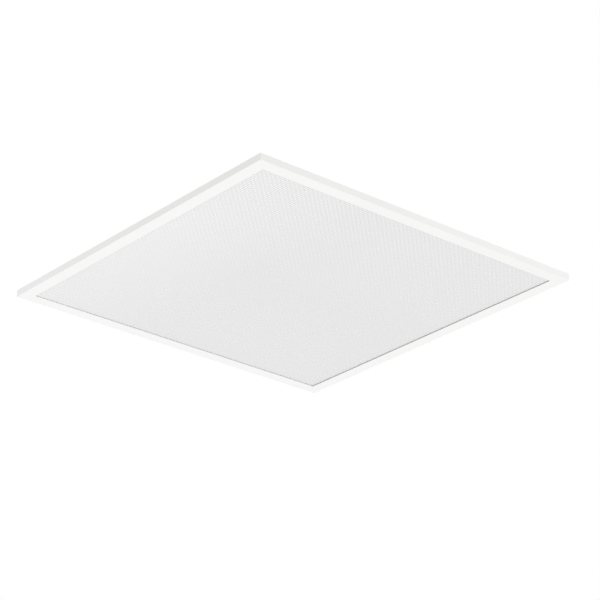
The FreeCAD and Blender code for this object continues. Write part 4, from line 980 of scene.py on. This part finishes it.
@dataclass
class Diffuser(Assembly):
    """The prismatic plate: a closed sheet whose lower side is covered in small pyramids."""

    node: str = "prismatic_diffuser"
    count: int = 132
    pitch: float = 4.2 * MM
    rise: float = 0.6 * MM
    tip_gaps: tuple[float, float] = (0.05 * MM, 0.2 * MM)

    def lattice(self, surface: Surface, low: float) -> Array:
        """Adds the pyramids, tips down.

        Their feet stand on a square lattice at low + rise. A tip hangs in the middle of each square, at low
        plus one or the other tip gap, by turns along rows and columns.

        Args:
            surface: The surface that they are added to.
            low: The plate's lower side.

        Returns:
            The numbers of the lattice's rim points, in a loop.
        """
        order = np.arange(self.count + 1)
        row, column = np.meshgrid(order, order, indexing="ij")
        middle = self.count / 2
        level = np.full(row.shape, low + self.rise)
        feet = np.stack([(row - middle) * self.pitch, (column - middle) * self.pitch, level], axis=-1)
        tips = (feet[:-1, :-1] + feet[1:, 1:]) / 2
        odd = (row + column)[:-1, :-1] % 2
        tips[..., 2] = low + np.take(self.tip_gaps, odd)
        foot, tip = surface.add(feet), surface.add(tips)
        corners = (foot[:-1, :-1], foot[1:, :-1], foot[1:, 1:], foot[:-1, 1:])
        for side, corner in enumerate(corners):
            following = corners[(side + 1) % len(corners)]
            surface.faces.extend(np.stack([tip, following, corner], axis=-1).reshape(-1, 3).tolist())
        return np.concatenate([foot[:-1, 0], foot[-1, :-1], foot[:0:-1, -1], foot[0, :0:-1]])

    def make(self, workshop: Workshop) -> None:
        """Makes the plate in the place of its CAD node.

        A low wall runs round the lattice, from its rim down to the plate's lower side. Four flat faces join
        the wall's foot to the plate's lower corners, and the box on those corners closes the sheet.
        """
        low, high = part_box(self.node)
        surface = Surface()
        rim = self.lattice(surface, low.z)
        half = self.count / 2 * self.pitch
        steps = (np.arange(self.count) / self.count * 2 - 1) * half
        fixed = np.full(self.count, half)
        rim_x = np.concatenate([steps, fixed, -steps, -fixed])
        rim_y = np.concatenate([-fixed, steps, fixed, -steps])
        wall = surface.add(np.stack([rim_x, rim_y, np.full_like(rim_x, low.z)], axis=-1))
        surface.cover(np.stack([rim, wall]), around=True)
        plan = np.array([[low.x, low.y], [high.x, low.y], [high.x, high.y], [low.x, high.y]])
        sides = len(plan)
        levels = np.repeat([low.z, high.z], sides)[:, None]
        outside = surface.add(np.concatenate([np.tile(plan, (2, 1)), levels], axis=1).reshape(2, sides, 3))
        surface.cover(outside, around=True)
        surface.faces.append(outside[1].tolist())
        for side, corner in enumerate(outside[0]):
            edge = np.take(wall, range(side * self.count, (side + 1) * self.count + 1), mode="wrap")
            following = outside[0][(side + 1) % sides]
            surface.faces.append([int(corner), int(following), *edge[::-1].tolist()])
        workshop.place(surface.piece("diffuser_prisms", smooth=0.0), self.node)


# ------------------------------------------------------------------ behind the face

@dataclass
class LightSource(Assembly):
    """The sheets behind the diffuser, the two rows of LEDs and their leads."""

    nodes: tuple[str, ...] = (
        "light_film", "light_guide", "reflector", "foam_pad_front", "foam_pad_back",
        "led_board_left", "leds_left", "led_board_right", "leds_right", "red_leads", "black_leads",
    )


@dataclass
class Back(Assembly):
    """The back plate and what hangs or holds the light."""

    nodes: tuple[str, ...] = (
        "back_plate", "clip_brackets", "hanger_brackets", "clip_pins",
        "grid_clip_front_left", "grid_clip_back_left", "grid_clip_front_right", "grid_clip_back_right",
    )


@dataclass
class DriverBox(Assembly):
    """The driver's housing with its hinged lid, grommet and cable gland."""

    nodes: tuple[str, ...] = (
        "box_base", "driver_cover", "wiring_lid", "lid_hinge_pin", "lead_grommet",
        "gland_body", "gland_locknut", "gland_seal", "gland_nut",
    )


@dataclass
class Driver(Assembly):
    """The driver's board and the parts on it."""

    nodes: tuple[str, ...] = (
        "driver_board", "input_header", "transformer_core", "heatsink", "power_transistor",
        "output_terminal",
    )
    reach: float = 18 * MM
    crimp_depth: float = 0.5 * MM
    crimp_middle: float = 2.4 * MM
    lip: float = 0.9 * MM
    bowl: float = 0.35 * MM
    score: float = 0.2 * MM
    soft: float = 0.4 * MM
    choke_foot: float = 4 * MM
    choke_wire: float = 0.8 * MM
    coil_radius: float = 4.6 * MM
    coil_offset: float = 5 * MM
    flange: float = 0.8 * MM
    drum_plate: float = 2 * MM
    drum_coil: float = 5.5 * MM
    drum_wire: float = 0.6 * MM
    yoke: float = 3 * MM
    core_lift: float = 2 * MM
    tape_corner: float = 2.5 * MM
    tape_swell: float = 0.5 * MM
    curve_points: int = 9
    hub: float = 0.1
    score_ends: tuple[float, float] = (0.97, 0.94)
    fuse_dip: tuple[float, float] = (0.7, 0.66)
    choke_hollow: float = 0.6

    def can(self, surface: Surface, points: Array) -> None:
        """Adds a capacitor's can: rounded foot, crimped neck, sleeve folded over the rim, scored sunk top.

        The neck is drawn in by the cosine squared of the distance from its middle, and the fold is half a
        circle. The scores are four V grooves, which run from the middle of the top to its edge.

        Args:
            surface: The surface that it is added to.
            points: The CAD can's points.
        """
        low, high = points.min(axis=0), points.max(axis=0)
        axis, radius = upright(low, high)
        neck = np.linspace(-1, 1, self.curve_points)
        crimp = zip(
            radius - self.crimp_depth * np.cos(neck * math.pi / 2) ** 2,
            low[2] + self.crimp_middle + neck * self.crimp_depth * 2,
        )
        turn = np.linspace(0, math.pi, self.curve_points)
        fold = zip(
            radius - self.lip / 2 * (1 - np.cos(turn)),
            high[2] + self.lip / 2 * (np.sin(turn) - 1),
        )
        inner, top = radius - self.lip, high[2] - self.bowl
        order = np.arange(Surface.ROUND_SIDES)
        scored = np.where(order % (Surface.ROUND_SIDES // 4) == 0, top - self.score, top)
        surface.revolve([
            (radius - self.soft, low[2]), (radius, low[2] + self.soft), *crimp, *fold,
            (inner, top), (inner * self.score_ends[0], top),
            (inner * self.score_ends[1], scored), (inner * self.hub, scored),
        ], axis)

    def make_cans(self, workshop: Workshop) -> None:
        """Makes the capacitors."""
        for node in ("bulk_capacitor", "output_capacitors"):
            surface = Surface()
            for points in solids(node, self.reach):
                self.can(surface, points)
            workshop.place(surface.piece(f"{node}_sleeved"), node)

    def make_fuse(self, workshop: Workshop) -> None:
        """Makes the fuse, a round case with a softened edge and a shallow ring in its top."""
        node = "input_fuse"
        low, high = edges(node)
        axis, radius = upright(low, high)
        half, dip = self.soft / 2, high[2] - self.soft / 2
        surface = Surface()
        surface.revolve([
            (radius - self.soft, low[2]), (radius, low[2] + self.soft), (radius, high[2] - 2 * self.soft),
            (radius - half, high[2] - half), (radius - self.soft - half, high[2]),
            (radius * self.fuse_dip[0], high[2]), (radius * self.fuse_dip[1], dip), (radius * self.hub, dip),
        ], axis)
        workshop.place(surface.piece("fuse_case"), node)

    def softened(self, low: float, high: float) -> Array:
        """Returns the profile of a block between two levels whose long edges are softened."""
        return np.array([[self.soft, low], [0, low + self.soft], [0, high - self.soft], [self.soft, high]])

    def make_choke(self, workshop: Workshop) -> None:
        """Makes the choke: two coils side by side on a black former with a foot."""
        node = "emi_choke"
        low, high = edges(node)
        middle = (low + high) / 2
        former, coils = Surface(), Surface()
        floor = low[2] + self.choke_foot
        former.block(low, high, 2 * self.soft, self.softened(low[2], floor))
        core = self.coil_radius - self.choke_wire
        inner, shelf = core * self.choke_hollow, high[2] - self.flange
        rings = (
            (core, floor - self.soft), (core, shelf), (self.coil_radius, shelf),
            (self.coil_radius, high[2] - self.soft), (self.coil_radius - self.soft, high[2]),
            (inner, high[2]), (inner, shelf), (inner * self.hub, shelf),
        )
        half = self.choke_wire / 2
        for side in (-1, 1):
            axis = middle + np.array([0, side * self.coil_offset, 0])
            former.revolve(rings, axis)
            coils.coil(axis, self.coil_radius - half, self.choke_wire, floor + half, shelf - half)
        workshop.place(former.piece("choke_former"), node, "moulded_black")
        workshop.place(coils.piece("choke_coils", Surface.WIRE_EDGE), node)

    def make_inductor(self, workshop: Workshop) -> None:
        """Makes the output inductor: a wire coil on a black drum."""
        node = "output_inductor"
        low, high = edges(node)
        axis, radius = upright(low, high)
        core, edge = self.drum_coil - self.drum_wire, radius - self.soft
        floor, roof = low[2] + self.drum_plate, high[2] - self.drum_plate
        drum, coil = Surface(), Surface()
        drum.revolve([
            (edge, low[2]), (radius, low[2] + self.soft), (radius, floor - self.soft), (edge, floor),
            (core, floor), (core, roof), (edge, roof), (radius, roof + self.soft),
            (radius, high[2] - self.soft), (edge, high[2]), (radius * self.hub, high[2]),
        ], axis)
        half = self.drum_wire / 2
        coil.coil(axis, self.drum_coil - half, self.drum_wire, floor + half, roof - half)
        workshop.place(drum.piece("inductor_drum"), node)
        workshop.place(coil.piece("inductor_coil", Surface.WIRE_EDGE), node, "copper_choke")

    def make_winding(self, workshop: Workshop) -> None:
        """Makes the transformer's winding: taped turns between a black former's flanges.

        The tape swells by the sine of half a turn times the share of its height.
        """
        node = "transformer_winding"
        low, high = edges(node)
        floor = low[2] + self.core_lift + self.yoke
        former, tape = Surface(), Surface()
        for start, end in ((floor, floor + self.flange), (high[2] - self.flange, high[2])):
            former.block(low, high, 2 * self.soft, np.array([[0, start], [0, end]]))
        for near, far in ((low[1], low[1] + self.yoke), (high[1] - self.yoke, high[1])):
            foot_low, foot_high = np.array([low[0], near]), np.array([high[0], far])
            former.block(foot_low, foot_high, self.soft, np.array([[0, low[2]], [0, floor]]))
        rise = np.linspace(0, 1, self.curve_points)
        inset = self.flange - self.tape_swell * np.sin(rise * math.pi)
        start, end = floor + self.flange, high[2] - self.flange
        tape.block(low, high, self.tape_corner, np.stack([inset, start + rise * (end - start)], axis=-1))
        workshop.place(former.piece("winding_former"), node, "moulded_black")
        workshop.place(tape.piece("winding_taped"), node)

    def make(self, workshop: Workshop) -> None:
        """Dresses the plain parts and makes the rounded and the wound ones."""
        super().make(workshop)
        self.make_cans(workshop)
        self.make_fuse(workshop)
        self.make_choke(workshop)
        self.make_inductor(workshop)
        self.make_winding(workshop)


@dataclass
class MainsConnection(Assembly):
    """The terminal block, its release buttons, its links and the earth tag."""

    nodes: tuple[str, ...] = (
        "mains_terminal", "live_button", "neutral_button", "earth_button",
        "live_link", "neutral_link", "earth_link", "earth_tag",
    )


@dataclass
class Screws(Assembly):
    """Pan-head screws with a cross recess, on the axes and in the sizes of their CAD nodes."""

    nodes: tuple[str, ...] = ("panel_screws", "cover_screws", "box_screws", "board_screws", "earth_screw")
    reach: float = 7 * MM
    arm_half: float = 0.32 * MM
    arm_share: float = 0.55
    floor_share: float = 0.6
    recess_share: float = 0.65
    dome_share: float = 0.72
    dome_drop: float = 0.15
    shoulder_share: float = 0.45
    point_share: float = 0.35

    def screw(self, surface: Surface, points: Array) -> None:
        """Adds one screw as rings of points round its axis, six to a quarter.

        The recess's edge is a plus sign in polar form: at an angle from the nearest arm, its radius is the
        arm's length over the cosine within the arm's end, and half the arm's width over the sine beyond it.

        Args:
            surface: The surface that it is added to.
            points: The CAD screw's points.
        """
        low, high = points.min(axis=0), points.max(axis=0)
        axis, radius = upright(low, high)
        away = np.linalg.norm(points[:, :2] - axis[:2], axis=1)
        seat = points[away > radius * self.dome_share, 2].min()
        shank = away[points[:, 2] < (seat + low[2]) / 2].max()
        height = high[2] - seat
        arm = radius * self.arm_share
        corner = math.atan2(self.arm_half, arm)
        quarter = np.array([-corner, 0, corner, math.pi / 4 - corner, math.pi / 4, math.pi / 4 + corner])
        angles = (quarter + np.arange(4)[:, None] * math.pi / 2).ravel()
        off_arm = np.abs((angles + math.pi / 4) % (math.pi / 2) - math.pi / 4)
        beyond = self.arm_half / np.sin(np.maximum(off_arm, corner))
        edge = np.minimum(arm / np.cos(off_arm), beyond)
        surface.revolve([
            (edge * self.floor_share, high[2] - height * self.recess_share),
            (edge, high[2] - height * self.dome_drop * (edge / radius) ** 2),
            (radius * self.dome_share, high[2] - height * self.dome_drop),
            (radius, seat + height * self.shoulder_share), (radius, seat), (shank, seat),
            (shank, low[2] + shank * self.point_share), (shank * self.floor_share, low[2]),
        ], axis, angles)

    def make(self, workshop: Workshop) -> None:
        """Makes the screws of each node as one piece."""
        for node in self.nodes:
            surface = Surface()
            for points in solids(node, self.reach):
                self.screw(surface, points)
            workshop.place(surface.piece(f"{node}_crossed"), node)


# ------------------------------------------------------------------ the studio

@dataclass(frozen=True)
class Softbox:
    """A square lamp aimed at the light's middle and not seen by the camera."""

    name: str
    towards: tuple[float, float, float]
    distance: float
    size: float
    power: float


@dataclass
class Studio:
    """Plain pale surroundings, two soft lamps and the camera at the photograph's place."""

    room_level: float = 0.8
    floor_level: float = -4.5
    floor_half: float = 60.0
    floor_color: Color = (0.93, 0.93, 0.93)
    lamps: tuple[Softbox, ...] = (
        Softbox("lamp_below", (-0.16, -0.45, -0.88), 4.2, 1.6, 46.0),
        Softbox("lamp_above", (-0.38, -0.5, 0.78), 5.0, 1.6, 30.0),
    )
    image_width: int = 600
    focal_pixels: float = 2392.33
    sensor: float = 36.0
    eye: tuple[float, float, float] = (-2.0841, -2.5557, -1.5133)
    heading: float = 50.5417
    climb: float = 24.382
    roll: float = 0.6258

    def seen(self, graph: Graph) -> Value:
        """Returns 1 for what the camera, a reflection or clear plastic sees, and 0 for all other rays."""
        rays = graph.node("ShaderNodeLightPath").outputs
        camera, glossy, clear = (
            Value(graph, rays[name]) for name in ("Is Camera Ray", "Is Glossy Ray", "Is Transmission Ray")
        )
        return camera.most(glossy).most(clear)

    def make_room(self) -> None:
        """Lights the object evenly from all round, and shows as white."""
        world = bpy.data.worlds.new("room")
        bpy.context.scene.world = world
        graph = Graph(world)
        strength = self.room_level + (1.0 - self.room_level) * self.seen(graph)
        sockets = {"Color": opaque(WHITE), "Strength": strength}
        background = graph.node("ShaderNodeBackground", sockets=sockets).outputs["Background"]
        graph.node("ShaderNodeOutputWorld", sockets={"Surface": background})

    def make_floor(self) -> None:
        """Lays a pale floor, which shows as white where nothing shades it."""
        half, level = self.floor_half, self.floor_level
        corners = [(-half, -half, level), (half, -half, level), (half, half, level), (-half, half, level)]
        mesh = bpy.data.meshes.new("floor")
        mesh.from_pydata(corners, [], [range(len(corners))])
        floor = bpy.data.objects.new("floor", mesh)
        bpy.context.scene.collection.objects.link(floor)
        material = bpy.data.materials.new("pale_floor")
        graph = Graph(material)
        graph.finish(
            Base_Color=self.floor_color,
            Roughness=1.0,
            Specular_IOR_Level=0.0,
            Emission_Strength=1.0,
            Emission_Color=(1.0 - self.room_level) * self.seen(graph),
        )
        mesh.materials.append(material)

    def make_lamps(self) -> None:
        """Hangs the soft lamps, each turned towards the light's middle."""
        for lamp in self.lamps:
            light = bpy.data.lights.new(lamp.name, "AREA")
            light.size = lamp.size
            light.energy = lamp.power
            made = bpy.data.objects.new(lamp.name, light)
            towards = Vector(lamp.towards).normalized()
            made.location = towards * lamp.distance
            made.rotation_mode = "QUATERNION"
            made.rotation_quaternion = towards.to_track_quat("Z", "Y")
            made.visible_camera = False
            bpy.context.scene.collection.objects.link(made)

    def make_camera(self) -> None:
        """Puts the camera where the photograph's edges and corners place it."""
        camera = bpy.data.cameras.new("camera")
        camera.sensor_width = self.sensor
        camera.lens = self.focal_pixels / self.image_width * self.sensor
        made = bpy.data.objects.new("camera", camera)
        bpy.context.scene.collection.objects.link(made)
        heading, climb, roll = (math.radians(angle) for angle in (self.heading, self.climb, self.roll))
        aim = Euler((math.pi / 2 + climb, 0.0, heading - math.pi / 2)).to_matrix()
        turn = aim @ Matrix.Rotation(roll, 3, "Z")
        made.matrix_world = Matrix.Translation(Vector(self.eye)) @ turn.to_4x4()
        bpy.context.scene.camera = made

    def make(self) -> None:
        """Sets up the whole studio."""
        bpy.context.scene.view_settings.view_transform = "Standard"
        self.make_room()
        self.make_floor()
        self.make_lamps()
        self.make_camera()


# ------------------------------------------------------------------ putting it together

def light_finishes() -> list[Finish]:
    """Returns one finish for each material slot of the record."""
    rail_low, rail_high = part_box("frame_rail_front")
    return [
        FrameCoat(
            "white_powder_coat", (0.93, 0.93, 0.915), reach=abs(rail_low.y), opening=abs(rail_high.y),
        ),
        Metal("cast_key", (0.66, 0.67, 0.68), roughness=0.5, grain=Grain.CAST, relief=0.05 * MM),
        Metal("zinc_screw", (0.72, 0.73, 0.74), roughness=0.3, patch=900.0, dull=0.85),
        PrismPlastic("prismatic_plastic", (0.81, 0.808, 0.816)),
        Sheeting("white_film", (0.94, 0.94, 0.94)),
        DottedAcrylic("clear_acrylic", (0.93, 0.96, 0.96)),
        Sheeting("white_reflector", (0.96, 0.96, 0.95), roughness=0.25),
        Cellular("grey_foam", (0.62, 0.63, 0.65)),
        CircuitBoard(
            "led_board", (0.9, 0.9, 0.88), track=(0.84, 0.84, 0.81), block=35.0, pad_radius=0.5 * MM,
        ),
        LedFace("led_phosphor", (0.93, 0.93, 0.9)),
        PowderCoat("white_sheet", (0.82, 0.82, 0.81), roughness=0.5, peel=700.0),
        Spangled("zinc_sheet", (0.7, 0.71, 0.72)),
        Metal("spring_steel", (0.62, 0.63, 0.65), roughness=0.28, patch=120.0, dull=0.82),
        Moulded(
            "box_plastic", (0.88, 0.88, 0.86), spark=1300.0, relief=0.02 * MM, flow_shade=0.975,
            seam=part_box("box_base")[1].z,
        ),
        CircuitBoard("circuit_board", (0.045, 0.2, 0.1)),
        Moulded("connector_grey", (0.5, 0.52, 0.53), roughness=0.45),
        Moulded("button_orange", (0.86, 0.36, 0.06), roughness=0.35),
        Moulded("button_blue", (0.1, 0.28, 0.66), roughness=0.35),
        Moulded("button_green", (0.1, 0.42, 0.16), roughness=0.35),
        Moulded("fuse_brown", (0.2, 0.11, 0.08), roughness=0.4),
        Metal("copper_choke", (0.74, 0.33, 0.14), roughness=0.28, patch=700.0, dull=0.75),
        CanSleeve("capacitor_sleeve", (0.03, 0.035, 0.08)),
        Metal("ferrite", (0.12, 0.12, 0.13), roughness=0.55, dull=0.9),
        Taped("winding_tape", (0.9, 0.66, 0.06)),
        Metal("bare_aluminium", (0.74, 0.75, 0.76), roughness=0.35, dull=0.94),
        Moulded("moulded_black", (0.03, 0.03, 0.033), roughness=0.55),
        Insulation("lead_red", (0.6, 0.03, 0.025)),
        Insulation("lead_black", (0.03, 0.03, 0.03)),
        Insulation("wire_brown", (0.2, 0.085, 0.04)),
        Insulation("wire_blue", (0.05, 0.2, 0.58)),
        Insulation("wire_green", (0.12, 0.42, 0.06), stripe=(0.85, 0.72, 0.05)),
        Metal("tinned_copper", (0.78, 0.76, 0.7), roughness=0.3, dull=0.85),
        Moulded("gland_plastic", (0.76, 0.76, 0.75), roughness=0.5),
        Cellular("black_rubber", (0.04, 0.04, 0.04), cell=3000.0, roughness=0.75, relief=0.01 * MM),
    ]


def main() -> None:
    """Makes every sub-assembly, and then the studio round them."""
    logging.basicConfig(level=logging.INFO, format="%(name)s: %(message)s")
    workshop = Workshop(light_finishes())
    assemblies = (
        Frame(), Diffuser(), LightSource(), Back(), DriverBox(), Driver(), MainsConnection(), Screws(),
    )
    for assembly in assemblies:
        log.info("%s", type(assembly).__name__)
        assembly.make(workshop)
    Studio().make()


if __name__ == "__main__":
    main()
